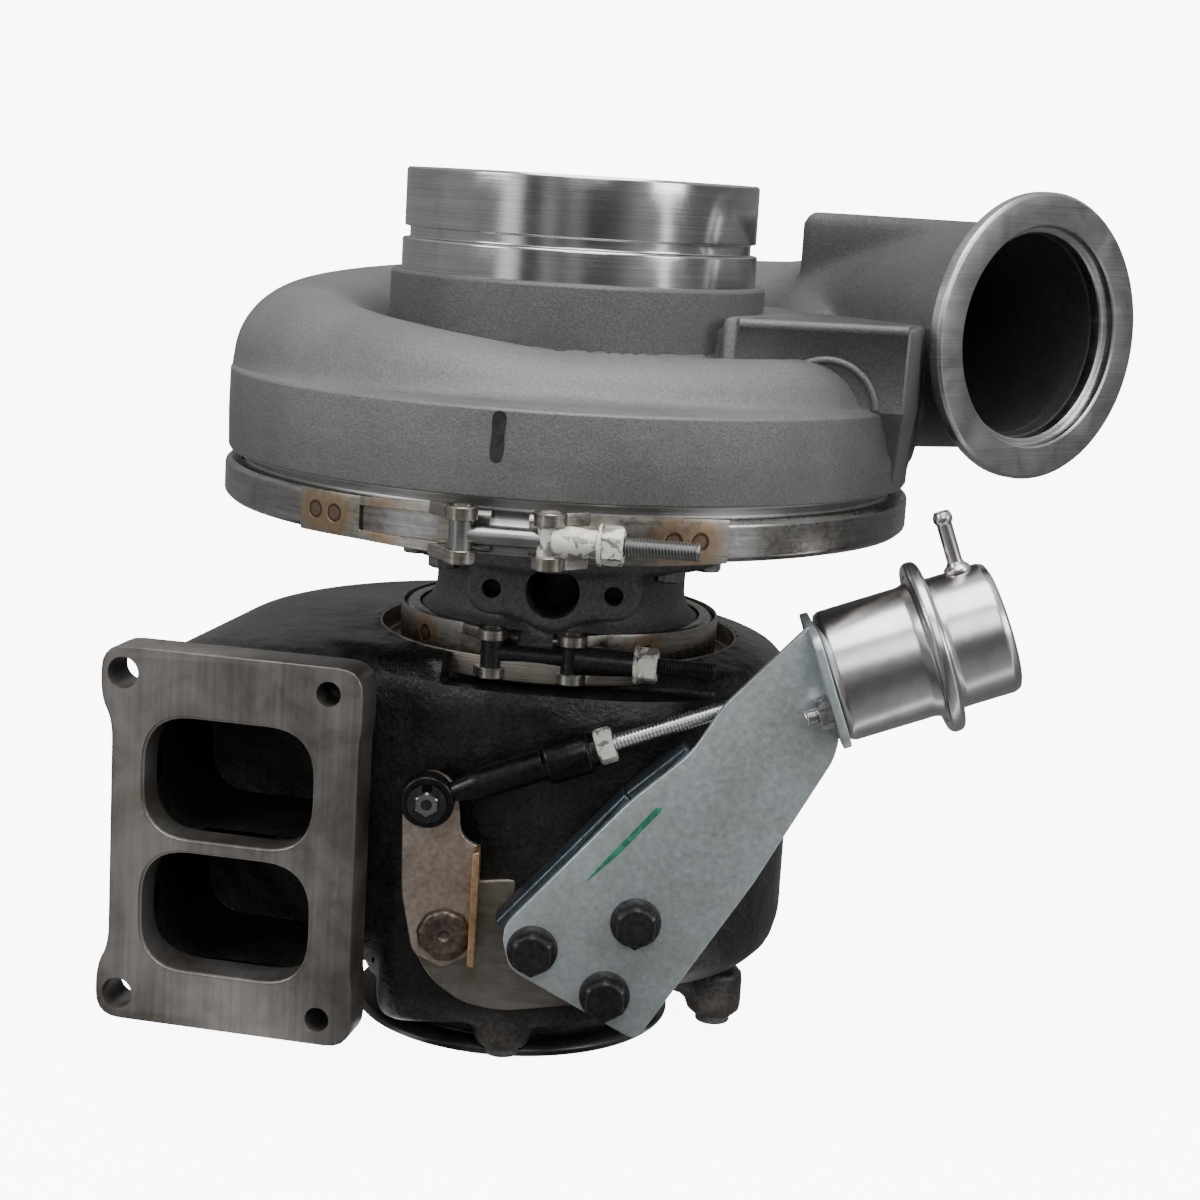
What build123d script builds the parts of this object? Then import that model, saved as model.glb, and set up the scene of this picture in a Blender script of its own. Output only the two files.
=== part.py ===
"""Twin-entry diesel turbocharger with a wastegate and its actuator.

Millimetres. +Z runs up the rotor shaft, from the turbine to the compressor. The origin is on
the shaft axis, in the plane of the turbine outlet. The turbine inlet flange faces -Y.
"""

import os
from math import cos, radians, sin, sqrt

from build123d import *

# ---------------------------------------------------------------- general clearances
fit_gap = 0.04          # radial, between a shaft and the bore it runs in
seat_gap = 0.15         # radial, between parts that plug together
free_gap = 0.40         # between curved faces that stay apart

# ---------------------------------------------------------------- heights on the shaft axis
band_joint_z = 148.5    # turbine housing meets bearing housing
core_top_z = 186.0      # bearing housing meets compressor backplate
cover_joint_z = 200.0   # rim of the backplate meets the rim of the compressor cover
diffuser_z = 217.0      # face of the backplate in the air passage
cover_base_z = 210.3    # lower edge of the compressor cover's outer wall
shoulder_z = 239.0
collar_base_z = 250.0
inlet_step_z = 276.0
inlet_top_z = 312.2

# ---------------------------------------------------------------- compressor cover
cover_r = 123.5
cover_spigot_r = 115.0  # backplate spigot inside the cover
collar_r = 67.5
inlet_ring_r = 64.2
inlet_r = 63.5
inlet_groove_r = 61.6
inlet_groove_z = 287.5
inlet_groove_width = 4.0
inlet_bore_r = 57.0
scroll_wall = 6.0
scroll_start_angle = -10.0       # about Z, from +X
scroll_exit_angle = 48.3
scroll_start_r = 14.0            # outer radius of the round section
scroll_end_r = 36.5
scroll_start_centre = 88.0
scroll_end_centre = 121.0
scroll_sections = 15
outlet_length = 115.0            # from the end of the scroll to the outlet face
outlet_centre_z = 265.5
outlet_bore_r = 36.5
outlet_flange_r = 51.0
outlet_flange_width = 9.0
outlet_neck_r = 42.0

# ---------------------------------------------------------------- rotor
shaft_r = 8.0
stub_r = 6.0
compressor_tip_r = 59.0
compressor_eye_r = 43.0
compressor_tip_z = 221.6
compressor_nose_z = 266.0
compressor_blades = 14
turbine_tip_r = 44.0
turbine_exit_r = 38.0
turbine_tip_z = 124.0
turbine_exit_z = 100.0
turbine_back_z = 137.5
nozzle_top_z = 134.5     # roof of the gas passages
turbine_blades = 12
wheel_gap = 0.5
blade_thickness = 1.4

# ---------------------------------------------------------------- centre
core_flange_r = 62.0
core_waist_r = 46.0
core_rim_r = 55.0
core_spigot_r = 45.0    # plugs into the turbine housing
bearing_r = 12.0
bearing_length = 10.0
bearing_low_z = 155.5
bearing_high_z = 169.0
oil_pad_reach = 55.0
oil_pad_angle = -81.0
oil_hole_spacing = 42.7
oil_hole_z = 169.5
oil_pad_height = 19.0
oil_boss_r = 14.0
oil_outlet_r = 9.5
oil_inlet_r = 7.0
oil_tapped_r = 3.4
core_bolt_inset = 8.0    # bolt circle, inwards from the edge of the core flange
# bolts on each side of the oil pad, in degrees from it: clear of the pad and of the feed boss
core_bolt_steps = (48.0, 82.0, 116.0, 150.0)

# ---------------------------------------------------------------- turbine housing
flange_x = -89.0
flange_z = 80.5
flange_face_y = -106.0
flange_width = 93.0
flange_height = 133.0
flange_thickness = 16.0
flange_hole_dx = 73.0
flange_hole_shift = -1.9  # hole pattern from the flange centre
flange_hole_dz = 114.4
flange_hole_r = 5.5
flange_tap_r = 4.3
port_width = 60.5
port_height = 42.5
port_spacing = 47.3
port_corner = 17.0
volute_bottom_z = 29.0
volute_top_z = 146.0
volute_wall = 7.0
volute_throat_r = 54.0
recess_z = 139.0         # floor of the recess around the clamp
outlet_x = -10.0
outlet_y = -2.2
turbine_outlet_r = 46.0
outlet_ring_r = 59.8
outlet_ring_height = 4.0

# ---------------------------------------------------------------- clamps
clamp_angle = -86.0     # both bolts, about Z, from +X
rim_half = 2.0          # half height of a rim's straight edge
cover_slope = 4.0       # depth of the cover's sloping rim
core_slope = 3.4        # depth of the turbine joint's sloping rim
bolt_stand_off = 10.0    # T-bolt outside the cover's rim
core_bolt_stand_off = 9.0
strap_thickness = 1.2
t_bolt_r = 3.1

# ---------------------------------------------------------------- wastegate and actuator
gate_turn = 12.0        # direction of the wastegate face, about Z, from -Y towards +X
spindle_u = -33.7
spindle_z = 52.0
spindle_r = 5.0
lever_u = -41.0         # eye pin, in the same plane
lever_z = 101.9
lever_face_w = 77.0
lever_thickness = 3.0
rod_w = 87.0            # distance of the rod from the shaft axis
rod_rise = 20.6         # degrees
rod_r = 3.0
bracket_w = 92.0        # back face of the bracket plate
bracket_thickness = 3.0
can_start = 141.6       # along the rod, from the eye pin
can_r = 22.5
can_wall = 1.0
can_length = 37.0
cap_length = 24.3
crimp_lip = 7.0         # crimped edge beyond the can

os.makedirs("parts", exist_ok=True)


# ---------------------------------------------------------------- helpers
def turned(frame, outline, mode=Mode.ADD):
    """Revolve a closed (radius, height) outline about the z direction of frame."""
    side = Plane(frame.origin, x_dir=frame.x_dir, z_dir=-frame.y_dir)
    with BuildSketch(side) as half:
        with BuildLine():
            Polyline(*outline, close=True)
        make_face()
    revolve(half.sketch, axis=Axis(frame.origin, frame.z_dir), mode=mode)


def ring(frame, outer, inner, start, end, mode=Mode.ADD):
    """A round bar or tube along the frame's z direction, from start to end."""
    with BuildSketch(frame.offset(start)) as section:
        Circle(outer)
        if inner > 0:
            Circle(inner, mode=Mode.SUBTRACT)
    extrude(section.sketch, amount=end - start, mode=mode)


def hexagon(frame, across_flats, start, end, hole_r=0, mode=Mode.ADD):
    """A hexagonal bar or nut along the frame's z direction."""
    with BuildSketch(frame.offset(start)) as section:
        RegularPolygon(across_flats / 2, 6, major_radius=False)
        if hole_r > 0:
            Circle(hole_r, mode=Mode.SUBTRACT)
    extrude(section.sketch, amount=end - start, mode=mode)


def plate(frame, points, start, end, mode=Mode.ADD, corner=0):
    """A flat plate with a polygonal outline, from start to end along the frame's z direction."""
    with BuildSketch(frame.offset(start)) as section:
        with BuildLine():
            Polyline(*points, close=True)
        make_face()
        if corner > 0:
            fillet(section.vertices(), corner)
    extrude(section.sketch, amount=end - start, mode=mode)


def save(piece, name):
    """Label a finished piece and write its file."""
    piece.part.label = name
    export_step(piece.part, f"parts/{name}.step")


def around(angle, radius, height=0.0):
    """A point at an angle about Z, from +X, in degrees."""
    return Vector(radius * cos(radians(angle)), radius * sin(radians(angle)), height)


base = Plane.XY
core_bolt_spots = [around(oil_pad_angle + side * step, core_flange_r - core_bolt_inset)
                   for step in core_bolt_steps for side in (-1, 1)]


# ================================================================ compressor cover
def scroll_law(share):
    """Angle, centre radius, section radius and centre height at a share of the sweep."""
    sweep = 360 + scroll_start_angle - scroll_exit_angle
    section = sqrt(scroll_start_r**2 + (scroll_end_r**2 - scroll_start_r**2) * share)
    centre = scroll_start_centre + (scroll_end_centre - scroll_start_centre) * share**2.2
    floor = diffuser_z - scroll_wall + 1.5
    return scroll_start_angle - sweep * share, centre, section, floor + section


def scroll(inset):
    """Round sections that grow clockwise about the shaft, joined into one tapering body."""
    with BuildPart() as body:
        for step in range(scroll_sections):
            angle, centre, section, height = scroll_law(step / (scroll_sections - 1))
            out = around(angle, 1)
            section_plane = Plane(around(angle, centre, height), x_dir=out, z_dir=Vector(0, 0, 1).cross(out))
            with BuildSketch(section_plane):
                Circle(section - inset)
        loft()
    return body.part


exit_out = around(scroll_exit_angle, 1)
exit_run = around(scroll_exit_angle - 90, 1)
exit_start = around(scroll_exit_angle, scroll_end_centre, scroll_law(1)[3])
outlet_centre = exit_start + exit_run * outlet_length
outlet_centre = Vector(outlet_centre.X, outlet_centre.Y, outlet_centre_z)
outlet_frame = Plane(outlet_centre, x_dir=exit_out, z_dir=exit_run)


def outlet_pipe(start_r, end_r):
    """The straight tapering pipe from the scroll to the outlet flange."""
    with BuildPart() as body:
        with BuildSketch(Plane(exit_start, x_dir=exit_out, z_dir=exit_run)):
            Circle(start_r)
        with BuildSketch(outlet_frame.offset(-outlet_flange_width)):
            Circle(end_r)
        loft()
    return body.part


cover_rim_r = cover_r - 1.5
cover_neck_r = cover_rim_r - cover_slope
shroud_r = compressor_tip_r + wheel_gap
eye_bore_r = compressor_eye_r + wheel_gap

with BuildPart() as compressor_housing:
    turned(base, [
        (inlet_bore_r - 20, cover_joint_z), (cover_rim_r, cover_joint_z),
        (cover_rim_r, cover_joint_z + rim_half), (cover_neck_r, cover_joint_z + rim_half + cover_slope),
        (cover_neck_r, cover_base_z),
        (cover_r, cover_base_z), (cover_r, shoulder_z), (collar_r + 3, collar_base_z - 1.5),
        (collar_r, collar_base_z + 1.5), (collar_r, inlet_step_z),
        (inlet_ring_r, inlet_step_z), (inlet_ring_r, inlet_groove_z), (inlet_groove_r, inlet_groove_z),
        (inlet_groove_r, inlet_groove_z + inlet_groove_width), (inlet_r, inlet_groove_z + inlet_groove_width),
        (inlet_r, inlet_top_z - 1), (inlet_r - 1, inlet_top_z), (inlet_bore_r - 20, inlet_top_z),
    ])
    add(scroll(0))
    add(outlet_pipe(scroll_end_r, outlet_neck_r))
    turned(outlet_frame, [
        (0, -outlet_flange_width - 4), (outlet_neck_r, -outlet_flange_width - 4),
        (outlet_neck_r, -outlet_flange_width), (outlet_flange_r, -outlet_flange_width + 4),
        (outlet_flange_r, -1), (outlet_flange_r - 1, 0), (0, 0),
    ])
    # web between the cover and the outlet pipe, and the cast pad behind the pipe
    plate(base, [(50, -38), (118, -50), (126, -22), (128, 30), (60, 60)], cover_base_z + 4, 264)
    plate(base, [(72, 62), (137, 22), (148, 40), (84, 82)], 262, 305)
    # air passages
    add(scroll(scroll_wall), mode=Mode.SUBTRACT)
    add(outlet_pipe(scroll_end_r - scroll_wall, outlet_bore_r), mode=Mode.SUBTRACT)
    turned(outlet_frame, [
        (0, -outlet_flange_width - 1), (outlet_bore_r, -outlet_flange_width - 1), (outlet_bore_r, -4),
        (outlet_bore_r + 2.5, -4), (outlet_bore_r + 2.5, 1), (0, 1),
    ], mode=Mode.SUBTRACT)
    turned(base, [
        (0, cover_joint_z - 1), (cover_spigot_r + seat_gap, cover_joint_z - 1),
        (cover_spigot_r + seat_gap, diffuser_z), (scroll_end_centre - 36, diffuser_z),
        (scroll_end_centre - 38, compressor_tip_z + wheel_gap), (shroud_r, compressor_tip_z + wheel_gap),
        (shroud_r - 8, compressor_tip_z + 5), (eye_bore_r + 3, compressor_tip_z + 18),
        (eye_bore_r, compressor_tip_z + 30), (eye_bore_r, compressor_nose_z + 2),
        (eye_bore_r + 5, compressor_nose_z + 10), (inlet_bore_r, compressor_nose_z + 24),
        (inlet_bore_r, inlet_top_z - 3), (inlet_bore_r + 2.5, inlet_top_z + 1), (0, inlet_top_z + 1),
    ], mode=Mode.SUBTRACT)
save(compressor_housing, "compressor_housing")

with BuildPart() as compressor_backplate:
    seal_bore_r = 30.0
    turned(base, [
        (seal_bore_r, core_top_z), (core_flange_r + 8, core_top_z), (core_flange_r + 13, diffuser_z - 10),
        (cover_spigot_r - 8, diffuser_z - 10), (cover_spigot_r - 5, cover_joint_z - 8),
        (cover_neck_r, cover_joint_z - 8), (cover_neck_r, cover_joint_z - rim_half - cover_slope),
        (cover_rim_r, cover_joint_z - rim_half), (cover_rim_r, cover_joint_z),
        (cover_spigot_r, cover_joint_z),
        (cover_spigot_r, diffuser_z - 8.5), (cover_spigot_r - 2.5, diffuser_z - 8.5),
        (cover_spigot_r - 2.5, diffuser_z - 5), (cover_spigot_r, diffuser_z - 5),
        (cover_spigot_r, diffuser_z), (18, diffuser_z), (18, diffuser_z - 5), (seal_bore_r, diffuser_z - 5),
    ])
    # tapped holes for the bolts that hold the bearing housing
    with Locations(*core_bolt_spots):
        with Locations((0, 0, core_top_z)):
            Cylinder(3.4, 20, align=(Align.CENTER, Align.CENTER, Align.MIN), mode=Mode.SUBTRACT)
save(compressor_backplate, "compressor_backplate")

with BuildPart() as cover_o_ring:
    ring(base, cover_spigot_r, cover_spigot_r - 2.4, diffuser_z - 8.3, diffuser_z - 5.2)
save(cover_o_ring, "cover_o_ring")


# ================================================================ wheels
def blade(outline, angle):
    """One thin radial blade: a (radius, height) outline, made thick about its own plane."""
    out = around(angle, 1)
    across = Vector(0, 0, 1).cross(out)
    with BuildSketch(Plane((0, 0, 0), x_dir=out, z_dir=-across)) as face:
        with BuildLine():
            Polyline(*outline, close=True)
        make_face()
    extrude(face.sketch, amount=blade_thickness / 2, both=True)


with BuildPart() as compressor_wheel:
    turned(base, [
        (stub_r + fit_gap, core_top_z + 18), (11, core_top_z + 18), (11, diffuser_z - 4),
        (17, diffuser_z + 1), (compressor_tip_r, diffuser_z + 1), (compressor_tip_r, diffuser_z + 2.2),
        (40, diffuser_z + 6), (24, diffuser_z + 18), (15, diffuser_z + 34), (12, compressor_nose_z - 2),
        (12, compressor_nose_z), (stub_r + fit_gap, compressor_nose_z),
    ])
    for number in range(compressor_blades):
        turn = 360 / compressor_blades * number
        nose = compressor_nose_z - (12 if number % 2 else 2)
        blade([
            (compressor_tip_r, diffuser_z + 1.5), (compressor_tip_r, compressor_tip_z),
            (compressor_tip_r - 8, compressor_tip_z + 4.4), (eye_bore_r + 2.4, compressor_tip_z + 18),
            (compressor_eye_r, compressor_tip_z + 30), (compressor_eye_r, nose), (11, nose),
            (14, diffuser_z + 30), (22, diffuser_z + 14), (40, diffuser_z + 3),
        ], turn)
save(compressor_wheel, "compressor_wheel")

with BuildPart() as rotor_nut:
    hexagon(base, 19, compressor_nose_z, compressor_nose_z + 9, stub_r - 0.5 + fit_gap)
    chamfer(rotor_nut.edges().group_by(Axis.Z)[-1].filter_by(GeomType.LINE), 1.0)
save(rotor_nut, "rotor_nut")

seal_hub_r = 11.0
with BuildPart() as shaft_and_turbine_wheel:
    turned(base, [
        (0, turbine_exit_z - 6), (7, turbine_exit_z - 6), (10, turbine_exit_z), (12, turbine_exit_z + 12),
        (20, turbine_tip_z + 2), (36, turbine_back_z - 3.5), (40, turbine_back_z - 2),
        (40, turbine_back_z), (seal_hub_r + 4, turbine_back_z), (seal_hub_r, turbine_back_z + 3.5),
        (seal_hub_r, band_joint_z - 0.8), (seal_hub_r - 1.2, band_joint_z - 0.8),
        (seal_hub_r - 1.2, band_joint_z + 1.2), (seal_hub_r, band_joint_z + 1.2),
        (seal_hub_r, band_joint_z + 3.5), (shaft_r, band_joint_z + 3.5), (shaft_r, core_top_z - 4),
        (stub_r, core_top_z - 4), (stub_r, compressor_nose_z), (stub_r - 0.5, compressor_nose_z),
        (stub_r - 0.5, compressor_nose_z + 14), (0, compressor_nose_z + 14),
    ])
    for number in range(turbine_blades):
        blade([
            (11, turbine_exit_z + 2), (turbine_exit_r, turbine_exit_z), (turbine_exit_r, turbine_exit_z + 10),
            (turbine_exit_r + 2.5, turbine_exit_z + 18), (turbine_tip_r, turbine_tip_z),
            (turbine_tip_r, turbine_back_z - 2), (34, turbine_back_z - 2), (18, turbine_tip_z),
        ], 360 / turbine_blades * number)
save(shaft_and_turbine_wheel, "shaft_and_turbine_wheel")

# ================================================================ centre section
bore_r = bearing_r + fit_gap
seal_bore = seal_hub_r + 0.3
pocket_r = 18.0
spigot_z = band_joint_z - 2.5
recess_r = core_rim_r + 11
core_neck_r = core_rim_r - core_slope
out_pad = around(oil_pad_angle, 1)
pad_across = Vector(0, 0, 1).cross(out_pad)
front_pad = Plane((0, 0, oil_hole_z), x_dir=pad_across, z_dir=out_pad)
rear_pad = Plane((0, 0, oil_hole_z), x_dir=-pad_across, z_dir=-out_pad)

with BuildPart() as bearing_housing:
    turned(base, [
        (0, spigot_z), (core_spigot_r, spigot_z), (core_spigot_r, band_joint_z), (core_rim_r, band_joint_z),
        (core_rim_r, band_joint_z + rim_half), (core_neck_r, band_joint_z + rim_half + core_slope),
        (core_waist_r + 2, band_joint_z + 8), (core_waist_r, band_joint_z + 14),
        (core_waist_r, core_top_z - 13),
        (core_flange_r - 2, core_top_z - 9), (core_flange_r, core_top_z - 8), (core_flange_r, core_top_z),
        (0, core_top_z),
    ])
    # oil outlet pad at the front, oil inlet boss at the rear
    with BuildSketch(front_pad.offset(30)) as pad_face:
        SlotCenterToCenter(oil_hole_spacing, oil_pad_height)
        Circle(oil_boss_r)
    extrude(pad_face.sketch, amount=oil_pad_reach - 30)
    ring(rear_pad, oil_boss_r, 0, 30, oil_pad_reach)
    # bore for the shaft, bearings, seal and thrust parts
    turned(base, [
        (0, band_joint_z - 3), (seal_bore, band_joint_z - 3), (seal_bore, band_joint_z + 5),
        (bore_r, band_joint_z + 5), (bore_r, core_top_z - 6), (pocket_r, core_top_z - 6),
        (pocket_r, core_top_z + 1), (0, core_top_z + 1),
    ], mode=Mode.SUBTRACT)
    # grooves for the snap rings that hold the bearings
    for height in (bearing_low_z - 1.6, bearing_low_z + bearing_length + 0.2,
                   bearing_high_z - 1.6, bearing_high_z + bearing_length + 0.2):
        ring(base, bore_r + 1.0, 0, height, height + 1.4, mode=Mode.SUBTRACT)
    # annular oil gallery, drain and feed
    ring(base, 30, 20, 157, 174, mode=Mode.SUBTRACT)
    ring(front_pad, oil_outlet_r, 0, 21, oil_pad_reach + 1, mode=Mode.SUBTRACT)
    ring(rear_pad, oil_inlet_r, 0, 25, oil_pad_reach + 1, mode=Mode.SUBTRACT)
    # the flange above is relieved so that a pipe can go straight into each
    ring(front_pad, oil_outlet_r + 1, 0, oil_pad_reach, core_flange_r + 4, mode=Mode.SUBTRACT)
    ring(rear_pad, oil_inlet_r + 1, 0, oil_pad_reach, core_flange_r + 4, mode=Mode.SUBTRACT)
    ring(rear_pad, 2.0, 0, 13, 26, mode=Mode.SUBTRACT)
    with BuildSketch(front_pad.offset(oil_pad_reach)) as tapped:
        with GridLocations(oil_hole_spacing, 0, 2, 1):
            Circle(oil_tapped_r)
    extrude(tapped.sketch, amount=-14, mode=Mode.SUBTRACT)
    # bolt holes with a spot face under each head
    with Locations(*core_bolt_spots):
        with Locations((0, 0, core_top_z - 13)):
            Cylinder(4.2, 14, align=(Align.CENTER, Align.CENTER, Align.MIN), mode=Mode.SUBTRACT)
        with Locations((0, 0, core_top_z - 20)):
            Cylinder(7.6, 12, align=(Align.CENTER, Align.CENTER, Align.MIN), mode=Mode.SUBTRACT)
save(bearing_housing, "bearing_housing")

for name, low in (("journal_bearing_turbine_end", bearing_low_z),
                  ("journal_bearing_compressor_end", bearing_high_z)):
    with BuildPart() as journal_bearing:
        ring(base, bearing_r, shaft_r + fit_gap, low, low + bearing_length)
        # oil holes through the wall
        for angle in (0, 60, 120):
            out = around(angle, 1)
            across = Plane((0, 0, low + bearing_length / 2), x_dir=(0, 0, 1), z_dir=out)
            ring(across, 1.2, 0, -bearing_r - 1, bearing_r + 1, mode=Mode.SUBTRACT)
    save(journal_bearing, name)

with BuildPart() as bearing_snap_rings:
    for height in (bearing_low_z - 1.5, bearing_low_z + bearing_length + 0.3,
                   bearing_high_z - 1.5, bearing_high_z + bearing_length + 0.3):
        ring(base, bore_r + 0.8, bearing_r - 1.6, height, height + 1.2)
    with Locations((0, bearing_r, band_joint_z + 20)):
        Box(7, 8, 60, mode=Mode.SUBTRACT)
save(bearing_snap_rings, "bearing_snap_rings")

with BuildPart() as turbine_piston_ring:
    ring(base, seal_bore, seal_hub_r - 0.9, band_joint_z - 0.5, band_joint_z + 0.9)
    with Locations((0, seal_bore, band_joint_z)):
        Box(0.5, 4, 4, mode=Mode.SUBTRACT)
save(turbine_piston_ring, "turbine_piston_ring")

with BuildPart() as thrust_washer:
    ring(base, 14, stub_r + fit_gap, core_top_z - 4, core_top_z - 0.1)
save(thrust_washer, "thrust_washer")

with BuildPart() as thrust_bearing:
    ring(base, seal_bore_r - seat_gap, 9.4, core_top_z, core_top_z + 5)
    with PolarLocations(12, 3):
        with Locations((0, 0, core_top_z + 4.2)):
            Cylinder(1.2, 3, mode=Mode.SUBTRACT)
save(thrust_bearing, "thrust_bearing")

with BuildPart() as oil_slinger:
    turned(base, [
        (stub_r + fit_gap, core_top_z - 0.1), (9.2, core_top_z - 0.1), (9.2, core_top_z + 5.1),
        (14, core_top_z + 5.1), (14, core_top_z + 8), (9.2, core_top_z + 8), (9.2, core_top_z + 12.2),
        (8.2, core_top_z + 12.2), (8.2, core_top_z + 14), (9.2, core_top_z + 14),
        (9.2, core_top_z + 18), (stub_r + fit_gap, core_top_z + 18),
    ])
save(oil_slinger, "oil_slinger")

with BuildPart() as oil_seal_plate:
    turned(base, [
        (9.5, core_top_z + 11), (seal_bore_r - seat_gap, core_top_z + 11),
        (seal_bore_r - seat_gap, core_top_z + 17), (12.5, core_top_z + 17), (12.5, core_top_z + 15.5),
        (9.5, core_top_z + 15.5),
    ])
save(oil_seal_plate, "oil_seal_plate")

with BuildPart() as oil_deflector:
    turned(base, [
        (15, core_top_z + 5), (seal_bore_r - seat_gap, core_top_z + 5),
        (seal_bore_r - seat_gap, core_top_z + 11),
        (seal_bore_r - 3, core_top_z + 11), (seal_bore_r - 3, core_top_z + 6.5), (15, core_top_z + 6.5),
    ])
save(oil_deflector, "oil_deflector")

with BuildPart() as compressor_piston_ring:
    ring(base, 9.5, 8.5, core_top_z + 12.4, core_top_z + 13.8)
    with Locations((0, 9.5, core_top_z + 13)):
        Box(0.5, 4, 4, mode=Mode.SUBTRACT)
save(compressor_piston_ring, "compressor_piston_ring")

with BuildPart() as seal_plate_snap_ring:
    ring(base, seal_bore_r - seat_gap, seal_bore_r - 4, core_top_z + 17, core_top_z + 18.5)
    with Locations((0, seal_bore_r - 2, core_top_z + 18)):
        Box(10, 8, 4, mode=Mode.SUBTRACT)
save(seal_plate_snap_ring, "seal_plate_snap_ring")

with BuildPart() as backplate_bolts:
    with Locations(*core_bolt_spots) as bolt_circle:
        with Locations((0, 0, core_top_z - 8)):
            Cylinder(3.4, 22, align=(Align.CENTER, Align.CENTER, Align.MIN))
    for spot in bolt_circle.locations:
        head = Plane(spot).offset(core_top_z - 13)
        hexagon(head, 10, 0, 4.6)
        ring(head, 6.4, 0, 4.4, 5)
    # the heads seat on the underside of the core flange
save(backplate_bolts, "backplate_bolts")

shield_r = core_spigot_r - 0.5
with BuildPart() as heat_shield:
    turned(base, [
        (seal_bore + 4, turbine_back_z + 1.2), (shield_r, turbine_back_z + 1.2), (shield_r, spigot_z),
        (shield_r - 1.5, spigot_z), (shield_r - 1.5, turbine_back_z + 2.4),
        (seal_bore + 4, turbine_back_z + 2.4),
    ])
save(heat_shield, "heat_shield")


# ================================================================ turbine housing
gate_out = around(gate_turn - 90, 1)          # the way the wastegate face looks
gate_across = around(gate_turn, 1)
gate_face = Plane((0, 0, 0), x_dir=gate_across, z_dir=gate_out)


def gate_spot(u, z, w=0):
    """A frame on the wastegate face: u across, z up, w outwards from the shaft axis."""
    return Plane(gate_face.from_local_coords(Vector(u, z, w)), x_dir=gate_across, z_dir=gate_out)


duct_left = flange_x - port_width / 2
duct_right = flange_x + port_width / 2
flange_back_y = flange_face_y + flange_thickness
port_centre_z = flange_z - 1.3
arc_centre_x = -20.0
volute_right_x = 90.0
volute_front_r = 70.75


def volute(inset, start_y):
    """Arcs of the volute's outer wall: up the duct, then clockwise around the wheel."""
    left = Line((duct_left - inset, start_y), (duct_left - inset, 0))
    rear = JernArc(left @ 1, (0, 1), arc_centre_x - duct_left + inset, -90)
    side_r = volute_right_x - volute_wall + inset - arc_centre_x
    side = JernArc(rear @ 1, rear % 1, side_r, -90)
    return side


bracket_holes = [(-2.9, 53.4), (31.6, 65.0), (22.6, 38.6)]
gate_arm = 20.0                                # spindle to valve centre
gate_arm_angle = 230.0                         # in the wastegate plane, from its x
gate_arm_w = 46.0
gate_run = Vector(cos(radians(gate_arm_angle)), sin(radians(gate_arm_angle)))
valve_u = spindle_u + gate_arm * gate_run.X
valve_z = spindle_z + gate_arm * gate_run.Y
valve_normal = gate_across * gate_run.Y + Vector(0, 0, -gate_run.X)
valve_centre = gate_across * valve_u + gate_out * gate_arm_w + Vector(0, 0, valve_z)
valve_frame = Plane(valve_centre, x_dir=gate_out, z_dir=valve_normal)
valve_r = 12.0
valve_thickness = 4.0
gate_port_r = 9.0
boss_face_w = 74.0
bush_r = 9.0
lugs = [(0, -58), (68, 0), (0, 62)]
lug_r = 10.5

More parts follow.
